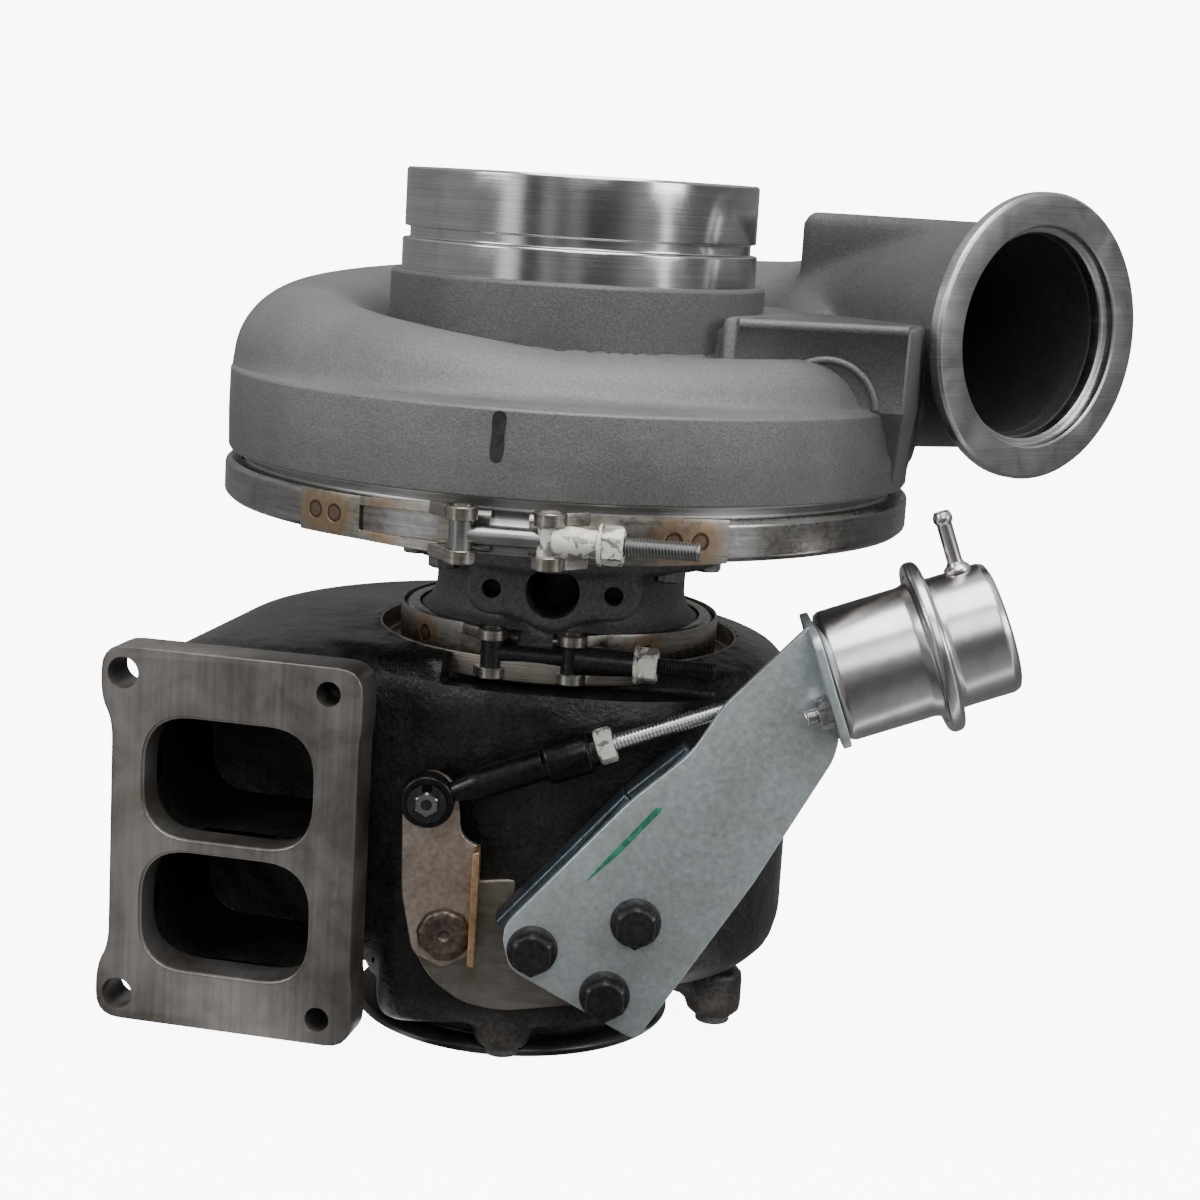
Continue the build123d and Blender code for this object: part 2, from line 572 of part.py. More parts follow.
with BuildPart() as turbine_housing:
    with BuildSketch(base.offset(volute_bottom_z)) as shell:
        with BuildLine():
            side = volute(volute_wall, flange_back_y)
            front = JernArc(side @ 1, side % 1, volute_front_r, -90)
            inner_x = duct_right + volute_wall - 1.5
            Polyline(front @ 1, (inner_x, (front @ 1).Y), (inner_x, flange_back_y),
                     (duct_left - volute_wall, flange_back_y))
        make_face()
    extrude(shell.sketch, amount=volute_top_z - volute_bottom_z)
    upper_edges = turbine_housing.edges().group_by(Axis.Z)[-1].filter_by(GeomType.CIRCLE)
    fillet(upper_edges, 20)
    lower_edges = turbine_housing.edges().group_by(Axis.Z)[0].filter_by(GeomType.CIRCLE)
    fillet(lower_edges, 14)
    # inlet flange
    flange_plane = Plane((flange_x, flange_face_y, flange_z), x_dir=(1, 0, 0), z_dir=(0, -1, 0))
    with BuildSketch(flange_plane) as flange_outline:
        RectangleRounded(flange_width, flange_height, 9)
        for side_x, waist in ((-1, 4.0), (1, 1.0)):
            with Locations((side_x * (flange_width / 2 + 0.5), 0)):
                SlotOverall(flange_height - 50, 2 * waist, rotation=90, mode=Mode.SUBTRACT)
    extrude(flange_outline.sketch, amount=-flange_thickness)
    # outlet casing with its lugs and the wastegate chamber
    outlet_frame_low = Plane((outlet_x, outlet_y, 0))
    turned(outlet_frame_low, [
        (0, outlet_ring_height), (53, outlet_ring_height), (53, 12), (57.5, 14), (57.5, 34), (60, 44),
        (0, 44),
    ])
    for x, y in lugs:
        spot = Plane((x, y, 0))
        ring(spot, lug_r, 0, outlet_ring_height, 22)
        plate(base, [(x * 0.97 - y * 0.12, y * 0.97 + x * 0.12), (x * 0.97 + y * 0.12, y * 0.97 - x * 0.12),
                     (y * 0.12, -x * 0.12), (-y * 0.12, x * 0.12)], 12, 34)
    plate(gate_face, [(-58, 12), (12, 12), (40, 24), (44, 72), (-12, 92), (-58, 72)], 20, 66, corner=6)
    # machined face for the wastegate, and the three standoffs of the bracket
    plate(gate_face, [(-46.5, 47), (-38, 33), (-27, 25), (-13, 22.5), (12, 26), (36, 27), (42, 40),
                      (40, 70), (-4, 72), (-24, 70), (-46.5, 66)], 60, boss_face_w, corner=4)
    for u, z in bracket_holes:
        spot = gate_spot(u, z)
        ring(spot, 9, 0, 55, bracket_w)
    # rim of the clamp joint
    turned(base, [
        (40, volute_top_z - 20), (52, volute_top_z - 20), (52, band_joint_z - rim_half - core_slope),
        (core_rim_r, band_joint_z - rim_half), (core_rim_r, band_joint_z), (40, band_joint_z),
    ])
    # recess around the clamp
    turned(base, [
        (core_neck_r, recess_z), (recess_r, recess_z), (recess_r, 160), (core_rim_r, 160),
        (core_rim_r, band_joint_z - rim_half),
        (core_neck_r, band_joint_z - rim_half - core_slope),
    ], mode=Mode.SUBTRACT)
    plate(base, [(-26, -90), (80, -90), (80, -50), (40, -52), (0, -60), (-26, -60)],
          recess_z - 2, 160, mode=Mode.SUBTRACT)
    # gas passages, one above the other
    for sign in (-1, 1):
        centre_z = port_centre_z + sign * port_spacing / 2
        mouth = Plane((flange_x, flange_face_y - 1, centre_z), x_dir=(1, 0, 0), z_dir=(0, -1, 0))
        with BuildSketch(mouth) as port:
            RectangleRounded(port_width, port_height, port_corner)
        extrude(port.sketch, amount=-48, mode=Mode.SUBTRACT)
        with BuildSketch(base.offset(centre_z - port_height / 2)) as channel:
            with BuildLine():
                outer = volute(0, flange_face_y + 46)
                tongue = around(-50, volute_throat_r)
                Line(outer @ 1, tongue)
                ThreePointArc(tongue, around(45, volute_throat_r), (-volute_throat_r, 0))
                Polyline((-volute_throat_r, 0), (-volute_throat_r, -25), (duct_right, flange_face_y + 46),
                         (duct_left, flange_face_y + 46))
            make_face()
        top = nozzle_top_z - centre_z + port_height / 2 if sign > 0 else port_height
        extrude(channel.sketch, amount=top, mode=Mode.SUBTRACT)
    # throat between the passages and the wheel
    ring(base, 66, 40, turbine_tip_z, nozzle_top_z, mode=Mode.SUBTRACT)
    ring(base, 61, 53.5, port_centre_z - 8, port_centre_z + 8, mode=Mode.SUBTRACT)
    turned(base, [
        (0, 160), (core_spigot_r + seat_gap, 160), (core_spigot_r + seat_gap, nozzle_top_z),
        (turbine_tip_r + wheel_gap, nozzle_top_z),
        (turbine_tip_r + wheel_gap, turbine_tip_z), (turbine_exit_r + 3.2, turbine_tip_z - 6),
        (turbine_exit_r + wheel_gap, turbine_exit_z + 9), (turbine_exit_r + wheel_gap, 95), (0, 95),
    ], mode=Mode.SUBTRACT)
    with BuildPart(mode=Mode.PRIVATE) as outlet_duct:
        with BuildSketch(base.offset(95)):
            Circle(turbine_exit_r + wheel_gap)
        with BuildSketch(Plane((outlet_x, outlet_y, 0))):
            Circle(turbine_outlet_r - 2)
        loft()
    add(outlet_duct.part, mode=Mode.SUBTRACT)
    # wastegate chamber, its port and the bush bore
    plate(gate_face, [(-60, 14), (-20, 14), (-20, 64), (-48, 64), (-60, 52)], 31, 61, mode=Mode.SUBTRACT)
    ring(valve_frame, valve_r + 3, 0, valve_thickness, 26)
    ring(valve_frame, gate_port_r, 0, valve_thickness - 1, 42, mode=Mode.SUBTRACT)
    spindle_frame = gate_spot(spindle_u, spindle_z)
    ring(spindle_frame, bush_r, 0, 55, 80, mode=Mode.SUBTRACT)
    # holes in the inlet flange: clear on the left, tapped on the right
    for sign in (-1, 1):
        for side_x, hole_r in ((-1, flange_hole_r), (1, flange_tap_r)):
            across = flange_hole_shift + side_x * flange_hole_dx / 2
            spot = Plane(flange_plane.from_local_coords(Vector(across, sign * flange_hole_dz / 2, 0)),
                         x_dir=(1, 0, 0), z_dir=(0, -1, 0))
            ring(spot, hole_r, 0, -flange_thickness - 2, 1, mode=Mode.SUBTRACT)
    for u, z in bracket_holes:
        spot = gate_spot(u, z)
        ring(spot, 4, 0, bracket_w - 16, bracket_w + 1, mode=Mode.SUBTRACT)
    for x, y in lugs:
        ring(Plane((x, y, 0)), 5, 0, 3, 18, mode=Mode.SUBTRACT)
save(turbine_housing, "turbine_housing")

with BuildPart() as outlet_ring:
    turned(outlet_frame_low, [
        (turbine_outlet_r + 2, 0), (outlet_ring_r - 0.8, 0), (outlet_ring_r, 0.8), (outlet_ring_r, 3),
        (outlet_ring_r - 1.2, outlet_ring_height), (turbine_outlet_r + 2, outlet_ring_height),
    ])
    for x, y in lugs:
        ring(Plane((x, y, 0)), 7.5, 0, -1, 6, mode=Mode.SUBTRACT)
save(outlet_ring, "outlet_ring")

with BuildPart() as lug_studs:
    for x, y in lugs:
        ring(Plane((x, y, 0)), 4.9, 0, outlet_ring_height, 17)
        ring(Plane((x, y, 0)), 6.5, 0, 0.4, outlet_ring_height)
save(lug_studs, "lug_studs")


# ================================================================ clamps
def clamp_parts(prefix, joint_z, rim_r, slope_in, half_height, bolt_radial, spans, nut_at, bolt_end):
    """A V-band clamp: two retainer segments, a strap with loops, a T-bolt, a trunnion and a nut."""
    retainer_r = rim_r + 2.6
    lip_r = rim_r - slope_in + free_gap
    with BuildPart() as retainer:
        turned(Plane((0, 0, joint_z)), [
            (rim_r + free_gap, -rim_half), (rim_r + free_gap, rim_half), (lip_r, rim_half + slope_in),
            (lip_r, half_height), (retainer_r, half_height), (retainer_r, -half_height),
            (lip_r, -half_height), (lip_r, -rim_half - slope_in),
        ])
        out = around(clamp_angle, 1)
        with BuildSketch(Plane((0, 0, joint_z - 20), x_dir=out, z_dir=(0, 0, 1))) as gap:
            Rectangle(4 * rim_r, 12)
        extrude(gap.sketch, amount=40, mode=Mode.SUBTRACT)
    save(retainer, prefix + "_retainer")

    run = around(clamp_angle + 90, 1)
    bolt_frame = Plane(around(clamp_angle, bolt_radial, joint_z), x_dir=out, z_dir=run)
    strap_r = retainer_r + 0.1
    outside_r = strap_r + strap_thickness
    strap_half = half_height + 1.2
    loops = (-14.0, 14.0)
    with BuildPart() as strap:
        for first, last in spans:
            with BuildSketch(Plane((0, 0, joint_z - strap_half))) as sector:
                with BuildLine():
                    start = around(clamp_angle + first, 1)
                    middle = around(clamp_angle + (first + last) / 2, 1)
                    end = around(clamp_angle + last, 1)
                    inner = ThreePointArc(start * strap_r, middle * strap_r, end * strap_r)
                    Line(inner @ 1, end * outside_r)
                    outer = ThreePointArc(end * outside_r, middle * outside_r, start * outside_r)
                    Line(outer @ 1, inner @ 0)
                make_face()
            extrude(sector.sketch, amount=2 * strap_half)
        for s in loops:
            # a vertical loop on a short block, with a window for the bolt
            spot = bolt_frame.from_local_coords(Vector(0, 0, s))
            ring(Plane((spot.X, spot.Y, joint_z)), 5.2, 3.9, -strap_half - 1, strap_half + 1)
            side = 1 if s > 0 else -1
            with BuildSketch(Plane((0, 0, joint_z - strap_half), x_dir=out, z_dir=(0, 0, 1))) as block:
                with BuildLine():
                    Polyline((strap_r + 0.2, s + side * 2), (bolt_radial, s + side * 4),
                             (bolt_radial, s + side * 5.2),
                             (outside_r - 0.004 * strap_r, s + side * 12), close=True)
                make_face()
            extrude(block.sketch, amount=2 * strap_half)
            ring(Plane((spot.X, spot.Y, joint_z)), 3.9, 0, -strap_half - 1, strap_half + 1,
                 mode=Mode.SUBTRACT)
        with BuildSketch(bolt_frame.offset(-24)) as window:
            Rectangle(11, 9.2)
        extrude(window.sketch, amount=54, mode=Mode.SUBTRACT)
        ring(Plane((0, 0, joint_z)), strap_r, 0, -30, 30, mode=Mode.SUBTRACT)
    save(strap, prefix + "_strap")

    with BuildPart() as t_bolt:
        spot = bolt_frame.from_local_coords(Vector(0, 0, loops[0]))
        ring(Plane((spot.X, spot.Y, joint_z)), 3.8, 0, -strap_half, strap_half)
        ring(bolt_frame, t_bolt_r, 0, loops[0], bolt_end)
        chamfer(t_bolt.faces().sort_by(Axis(bolt_frame.origin, run))[-1].edges(), 0.6)
    save(t_bolt, prefix + "_t_bolt")

    with BuildPart() as trunnion:
        spot = bolt_frame.from_local_coords(Vector(0, 0, loops[1]))
        ring(Plane((spot.X, spot.Y, joint_z)), 3.8, 0, -strap_half, strap_half)
        ring(bolt_frame, 4.4, 0, loops[1], nut_at)
        ring(bolt_frame, t_bolt_r + 0.1, 0, loops[1] - 6, nut_at + 1, mode=Mode.SUBTRACT)
    save(trunnion, prefix + "_trunnion")

    nut_hole_r = t_bolt_r + 0.05
    with BuildPart() as nut:
        hexagon(bolt_frame, 11, nut_at, nut_at + 8, nut_hole_r)
        ring(bolt_frame, 6.6, nut_hole_r, nut_at, nut_at + 1.2)
    save(nut, prefix + "_nut")


clamp_parts("compressor_clamp", cover_joint_z, cover_rim_r, cover_slope - 0.5, 6.8, cover_rim_r + bolt_stand_off,
            [(6.6, 33), (-33, -6.6)], 29.5, 61.0)
clamp_parts("turbine_clamp", band_joint_z, core_rim_r, core_slope, 6.4, core_rim_r + core_bolt_stand_off,
            [(15, 170), (-170, -15)], 36.0, 64.0)

# ================================================================ wastegate
with BuildPart() as spindle_bush:
    ring(spindle_frame, bush_r - 0.02, spindle_r + fit_gap, 61, boss_face_w + 1.5)
save(spindle_bush, "spindle_bush")

weld_w = lever_face_w + lever_thickness
with BuildPart() as wastegate_arm:
    ring(spindle_frame, spindle_r, 0, gate_arm_w - 7, weld_w)
    arm_side = Plane(valve_centre, x_dir=gate_out, z_dir=valve_normal)
    with BuildSketch(arm_side.offset(-7)) as bar:
        with Locations((0, 7)):
            Rectangle(10, 26)
    extrude(bar.sketch, amount=6.8)
    ring(valve_frame, 3.1, 0, -12, 2, mode=Mode.SUBTRACT)
save(wastegate_arm, "wastegate_arm")

with BuildPart() as wastegate_valve:
    ring(valve_frame, valve_r, 0, 0, valve_thickness - 0.05)
    ring(valve_frame, 3.0, 0, -9, 0.5)
    ring(valve_frame, 6.0, 0, -9.5, -7.3)
save(wastegate_valve, "wastegate_valve")

eye_frame = gate_spot(lever_u, lever_z)
pin_r = 4.0
with BuildPart() as wastegate_lever:
    plate(gate_face, [(-44.5, 45), (-49.0, 66), (-50, 95), (-48, 106), (-40, 110.5), (-33, 107), (-30, 98),
                      (-25.5, 88), (-22.4, 84), (-22.4, 46), (-34, 39.5)], lever_face_w, weld_w, corner=2.5)
    # stiffening flange turned towards the front
    plate(gate_face, [(-25.0, 43), (-22.4, 43), (-22.4, 88), (-25.0, 88)],
          lever_face_w + 0.5, lever_face_w + 11)
    ring(eye_frame, pin_r + 0.02, 0, 60, 100, mode=Mode.SUBTRACT)
    ring(spindle_frame, spindle_r + 0.02, 0, 60, 100, mode=Mode.SUBTRACT)
save(wastegate_lever, "wastegate_lever")

with BuildPart() as lever_weld:
    ring(spindle_frame, 8.2, 0, weld_w, weld_w + 2.6)
    chamfer(lever_weld.edges().sort_by(Axis(spindle_frame.origin, gate_out))[-1], 1.2)
    ring(spindle_frame, 1.6, 0, weld_w + 1.4, weld_w + 4, mode=Mode.SUBTRACT)
save(lever_weld, "lever_weld")

eye_half = 4.0
with BuildPart() as lever_pin:
    ring(eye_frame, pin_r, 0, lever_face_w - 2, rod_w + eye_half + 2.5)
    ring(eye_frame, 6.5, 0, lever_face_w - 2, lever_face_w)
    ring(eye_frame, pin_r + 1, pin_r - 0.8, rod_w + eye_half + 0.9, rod_w + eye_half + 2.0,
         mode=Mode.SUBTRACT)
save(lever_pin, "lever_pin")

with BuildPart() as pin_clip:
    ring(eye_frame, 6.6, pin_r - 0.7, rod_w + eye_half + 1.0, rod_w + eye_half + 1.9)
    with Locations(gate_spot(lever_u, lever_z + 5, rod_w + eye_half + 1.4)):
        Box(3.4, 6, 4, mode=Mode.SUBTRACT)
save(pin_clip, "pin_clip")

# ================================================================ actuator rod
rod_run = gate_across * cos(radians(rod_rise)) + Vector(0, 0, sin(radians(rod_rise)))
rod_frame = Plane(gate_spot(lever_u, lever_z, rod_w).origin, x_dir=gate_out, z_dir=rod_run)


def rod_spot(x, y):
    """A frame along the rod, moved sideways by x and y."""
    return Plane(rod_frame.from_local_coords(Vector(x, y, 0)), x_dir=gate_out, z_dir=rod_run)


with BuildPart() as rod_end:
    ring(eye_frame, 9.2, 0, rod_w - eye_half, rod_w + eye_half)
    turned(rod_frame, [(0, 5), (5.4, 7), (5.4, 42), (7.6, 43), (7.6, 58), (6.8, 60), (0, 60)])
    ring(eye_frame, pin_r + fit_gap, 0, rod_w - 12, rod_w + 12, mode=Mode.SUBTRACT)
    ring(rod_frame, rod_r + 0.02, 0, 34, 61, mode=Mode.SUBTRACT)
save(rod_end, "rod_end")

with BuildPart() as jam_nut:
    hexagon(rod_frame, 11, 60, 66, rod_r + 0.02)
save(jam_nut, "jam_nut")

piston_at = can_start + can_length - 1.6
piston_r = can_r - 4.5
crimp_r = can_r + crimp_lip
with BuildPart() as actuator_rod:
    ring(rod_frame, rod_r, 0, 34, piston_at + 6)
save(actuator_rod, "actuator_rod")

with BuildPart() as actuator_piston:
    turned(rod_frame, [
        (rod_r + 0.02, piston_at - 1), (piston_r - 1, piston_at - 1), (piston_r - 1, piston_at - 8),
        (piston_r, piston_at - 8), (piston_r, piston_at), (rod_r + 0.02, piston_at),
    ])
save(actuator_piston, "actuator_piston")

with BuildPart() as piston_nut:
    hexagon(rod_frame, 10, piston_at + 0.8, piston_at + 4.8, rod_r + 0.02)
save(piston_nut, "piston_nut")

with BuildPart() as actuator_diaphragm:
    ring(rod_frame, crimp_r - 1.7, rod_r + 0.1, piston_at, piston_at + 0.8)
save(actuator_diaphragm, "actuator_diaphragm")

# ================================================================ actuator can
with BuildPart() as actuator_body:
    turned(rod_frame, [
        (5.5, can_start), (can_r - 2, can_start), (can_r, can_start + 2), (can_r, piston_at - 5),
        (can_r + 3, piston_at - 1.4), (crimp_r - 1.7, piston_at - 1.4), (crimp_r - 1.7, piston_at),
        (can_r + 2, piston_at), (can_r - can_wall, piston_at - 4.6), (can_r - can_wall, can_start + 2.4),
        (can_r - 2.4, can_start + can_wall), (5.5, can_start + can_wall),
    ])
save(actuator_body, "actuator_body")

cap_start = piston_at + 0.8
cap_r = can_r
with BuildPart() as actuator_cap:
    turned(rod_frame, [
        (crimp_r - 1.7, cap_start), (crimp_r - 1.7, cap_start + 1.4), (cap_r + 2.6, cap_start + 1.4),
        (cap_r, cap_start + 4), (cap_r, cap_start + cap_length - 2), (cap_r - 2, cap_start + cap_length),
        (0, cap_start + cap_length), (0, cap_start + cap_length - can_wall),
        (cap_r - 2.4, cap_start + cap_length - can_wall), (cap_r - can_wall, cap_start + cap_length - 2.4),
        (cap_r - can_wall, cap_start + 3.6), (cap_r + 2, cap_start),
    ])
    nipple_foot = rod_frame.from_local_coords(Vector(0, 0, cap_start + 14.6))
    nipple_up = Plane(nipple_foot, x_dir=gate_out, z_dir=-rod_frame.y_dir)
    ring(nipple_up, 2.4, 0, 12, cap_r + 4, mode=Mode.SUBTRACT)
save(actuator_cap, "actuator_cap")

with BuildPart() as crimp_ring:
    turned(rod_frame, [
        (crimp_r - 1.6, piston_at - 1.5), (crimp_r - 4, piston_at - 1.5), (crimp_r - 4, piston_at - 2.5),
        (crimp_r - 0.6, piston_at - 2.5), (crimp_r, piston_at - 1.5), (crimp_r, cap_start + 1.6),
        (crimp_r - 0.6, cap_start + 2.6), (crimp_r - 4, cap_start + 2.6), (crimp_r - 4, cap_start + 1.5),
        (crimp_r - 1.6, cap_start + 1.5),
    ])
save(crimp_ring, "crimp_ring")

with BuildPart() as hose_nipple:
    turned(nipple_up, [
        (1.5, cap_r + 0.1), (4.4, cap_r + 0.1), (4.4, cap_r + 1.6), (2.6, cap_r + 3), (2.6, cap_r + 16.4),
        (3.3, cap_r + 17.4), (3.3, cap_r + 18.9), (2.5, cap_r + 20.6), (1.5, cap_r + 20.6),
    ])
    ring(nipple_up, 2.35, 1.5, cap_r - 3, cap_r + 1)
save(hose_nipple, "hose_nipple")

spring_r = 13.0
wire_r = 1.2
spring_turns = 4
with BuildPart() as actuator_spring:
    spring_start = can_start + can_wall + wire_r + 0.2
    spring_end = piston_at - 1 - wire_r - 0.2
    spring_length = spring_end - spring_start
    spring_base = rod_frame.from_local_coords(Vector(0, 0, spring_start))
    with BuildLine():
        coil = Helix(spring_length / spring_turns, spring_length, spring_r, center=spring_base,
                     direction=rod_run)
    with BuildSketch(Plane(coil @ 0, z_dir=coil % 0)):
        Circle(wire_r)
    sweep(path=coil, is_frenet=True)
save(actuator_spring, "actuator_spring")

stud_spots = [(can_r - 6.9, 7.0), (6.9 - can_r, -7.0)]
tab_thickness = 3.0
with BuildPart() as actuator_studs:
    for x, y in stud_spots:
        spot = rod_spot(x, y)
        ring(spot, 2.9, 0, can_start - 12, can_start)
save(actuator_studs, "actuator_studs")

with BuildPart() as stud_nuts:
    for x, y in stud_spots:
        spot = rod_spot(x, y)
        hexagon(spot, 10, can_start - tab_thickness - 4.8, can_start - tab_thickness, 2.95)
save(stud_nuts, "stud_nuts")

# ================================================================ bracket
bracket_foot = [(-14.2, 59.9), (-10.1, 45.8), (34.2, 22.5), (70.4, 80.7), (94.2, 125.2), (95.5, 131.8)]
tab_low = gate_face.to_local_coords(rod_frame.from_local_coords(Vector(0, 13, can_start - 1.5)))
tab_high = gate_face.to_local_coords(rod_frame.from_local_coords(Vector(0, -21, can_start - 1.5)))
bracket_head = [(tab_low.X, tab_low.Y), (tab_high.X, tab_high.Y)]
bracket_neck = [(56.9, 142.7), (46.4, 124.9), (27.2, 107.4)]
bracket_outline = bracket_foot + bracket_head + bracket_neck
edge_run = [bracket_foot[0], bracket_neck[2], bracket_neck[1]]
with BuildPart() as bracket:
    plate(gate_face, bracket_outline, bracket_w, bracket_w + bracket_thickness, corner=1.6)
    # edge flange turned back towards the housing
    flange_depth = 11.0
    for first, last in zip(edge_run, edge_run[1:]):
        along = Vector(last[0] - first[0], last[1] - first[1]).normalized()
        inward = Vector(along.Y, -along.X) * 2.5
        strip = [(first[0], first[1]), (last[0], last[1]), (last[0] + inward.X, last[1] + inward.Y),
                 (first[0] + inward.X, first[1] + inward.Y)]
        plate(gate_face, strip, bracket_w - flange_depth, bracket_w + 1)
    # tab across the actuator's axis
    tab = rod_frame.offset(can_start - tab_thickness)
    with BuildSketch(tab) as tab_outline:
        with Locations((0, 0)):
            RectangleRounded(2 * can_r + 1, 2 * can_r - 5, 6)
    extrude(tab_outline.sketch, amount=tab_thickness)
    ring(rod_frame, 7.0, 0, can_start - 20, can_start + 4, mode=Mode.SUBTRACT)
    for x, y in stud_spots:
        spot = rod_spot(x, y)
        ring(spot, 3.1, 0, can_start - 20, can_start + 1, mode=Mode.SUBTRACT)
    for u, z in bracket_holes:
        spot = gate_spot(u, z)
        ring(spot, 4.3, 0, bracket_w - 2, bracket_w + 6, mode=Mode.SUBTRACT)
save(bracket, "actuator_bracket")

with BuildPart() as bracket_bolts:
    for u, z in bracket_holes:
        spot = gate_spot(u, z)
        face_w = bracket_w + bracket_thickness
        ring(spot, 3.95, 0, bracket_w - 14, face_w)
        turned(spot, [(0, face_w), (8.6, face_w), (8.6, face_w + 0.8), (6.6, face_w + 2.2),
                      (0, face_w + 2.2)])
        hexagon(spot, 13, face_w + 1, face_w + 7.5)
save(bracket_bolts, "bracket_bolts")
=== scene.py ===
"""A twin-entry turbocharger: castings, clamps, wastegate linkage and actuator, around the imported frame.

Shapes are worked out in millimetres and put into the meshes in metres. z runs up the rotor's axis.
"""

import bmesh
import bpy
import numpy as np
from mathutils import Matrix


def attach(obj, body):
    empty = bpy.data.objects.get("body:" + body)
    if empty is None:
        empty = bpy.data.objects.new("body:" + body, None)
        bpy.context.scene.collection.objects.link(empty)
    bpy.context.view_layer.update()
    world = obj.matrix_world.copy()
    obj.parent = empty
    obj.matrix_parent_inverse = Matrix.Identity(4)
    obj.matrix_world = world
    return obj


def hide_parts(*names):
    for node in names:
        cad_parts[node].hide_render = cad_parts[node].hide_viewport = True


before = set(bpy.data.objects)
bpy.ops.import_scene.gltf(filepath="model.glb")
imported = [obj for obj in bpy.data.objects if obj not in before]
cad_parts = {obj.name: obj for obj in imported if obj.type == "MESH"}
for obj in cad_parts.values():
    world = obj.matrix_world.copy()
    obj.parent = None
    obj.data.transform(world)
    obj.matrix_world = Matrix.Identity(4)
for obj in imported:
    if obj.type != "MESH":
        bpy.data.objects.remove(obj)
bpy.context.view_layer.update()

MM = 0.001
TAU = 2 * np.pi


# ---------------------------------------------------------------- frames and grids
def unit(v):
    v = np.asarray(v, float)
    return v / np.linalg.norm(v)


def axes(origin, z, x):
    """A right-handed frame: origin, and x, y, z directions as rows."""
    z = unit(z)
    x = unit(np.asarray(x, float) - np.dot(x, z) * z)
    return np.asarray(origin, float), np.array([x, np.cross(z, x), z])


def place(points, where):
    """Local points (..., 3) to the part's own frame."""
    return where[0] + np.asarray(points, float) @ where[1]


def shifted(where, x=0.0, y=0.0, z=0.0):
    return place([x, y, z], where), where[1]


def around(angle, radius=1.0, height=0.0):
    """A point at an angle in degrees about z."""
    a = np.radians(angle)
    return np.array([radius * np.cos(a), radius * np.sin(a), height])


WORLD = axes((0, 0, 0), (0, 0, 1), (1, 0, 0))
GATE_TURN = 12.0
OUT = around(GATE_TURN - 90)
ACROSS = around(GATE_TURN)
GATE = axes((0, 0, 0), OUT, ACROSS)            # x across, y up, z out of the wastegate face
LEVER_EYE = (-41.0, 101.9)
SPINDLE = (-33.7, 52.0)
ROD_W = 87.0
ROD_RISE = np.radians(20.6)
ROD_RUN = ACROSS * np.cos(ROD_RISE) + np.array([0, 0, np.sin(ROD_RISE)])
ROD = axes(place([*LEVER_EYE, ROD_W], GATE), ROD_RUN, OUT)


def gate_at(u, z, w=0.0):
    return shifted(GATE, u, z, w)


def surface(points, wrap_rows=True, wrap_cols=True, cap_rows=False):
    """A grid of points (rows, cols, 3) as vertices and faces. Each cell is one face, and a cap is one
    face round the first or the last row."""
    rows, cols = points.shape[:2]
    index = np.arange(rows * cols).reshape(rows, cols)
    a = index if wrap_rows else index[:-1]
    b = np.roll(index, -1, 0) if wrap_rows else index[1:]
    if not wrap_cols:
        quads = np.stack([a[:, :-1], b[:, :-1], b[:, 1:], a[:, 1:]], -1)
    else:
        quads = np.stack([a, b, np.roll(b, -1, 1), np.roll(a, -1, 1)], -1)
    faces = quads.reshape(-1, 4).tolist()
    if cap_rows:
        faces.append(index[0].tolist())
        faces.append(index[-1][::-1].tolist())
    return points.reshape(-1, 3), faces


def soft_corners(outline, radius, steps=4, closed=True):
    """Each corner of a polygon becomes a short curve: it leaves the corner's two sides one radius away
    and bends from one to the other as (1-t)^2 A + 2t(1-t) corner + t^2 B."""
    p = np.asarray(outline, float)
    r = np.broadcast_to(np.asarray(radius, float), (len(p),))
    before, after = np.roll(p, 1, 0), np.roll(p, -1, 0)
    la = np.linalg.norm(before - p, axis=1)
    lb = np.linalg.norm(after - p, axis=1)
    cut_a = np.minimum(r, la * 0.48)[:, None] / np.maximum(la, 1e-9)[:, None]
    cut_b = np.minimum(r, lb * 0.48)[:, None] / np.maximum(lb, 1e-9)[:, None]
    first, last = p + (before - p) * cut_a, p + (after - p) * cut_b
    if not closed:
        first[0] = last[0] = p[0]
        first[-1] = last[-1] = p[-1]
    t = np.linspace(0, 1, steps + 1)[None, :, None]
    curve = (1 - t) ** 2 * first[:, None] + 2 * t * (1 - t) * p[:, None] + t ** 2 * last[:, None]
    return curve.reshape(-1, p.shape[1])


def resampled(outline, count, closed=True):
    """The same closed line with points evenly spaced along it."""
    p = np.asarray(outline, float)
    if closed:
        p = np.vstack([p, p[:1]])
    d = np.concatenate([[0], np.cumsum(np.linalg.norm(np.diff(p, axis=0), axis=1))])
    t = np.linspace(0, d[-1], count + (1 if closed else 0))
    t = t[:-1] if closed else t
    return np.stack([np.interp(t, d, p[:, k]) for k in range(p.shape[1])], 1)


def turned(outline, where=WORLD, steps=96, corner=0.0, bend=3):
    """A (radius, height) outline carried round an axis: (r cos a, r sin a, h)."""
    p = np.asarray(outline, float)
    if corner:
        p = soft_corners(p, corner, bend)
    a = np.linspace(0, TAU, steps, endpoint=False)[:, None]
    r, h = p[None, :, 0], p[None, :, 1]
    grid = np.stack([r * np.cos(a), r * np.sin(a), h + 0 * a], -1)
    return surface(place(grid, where))


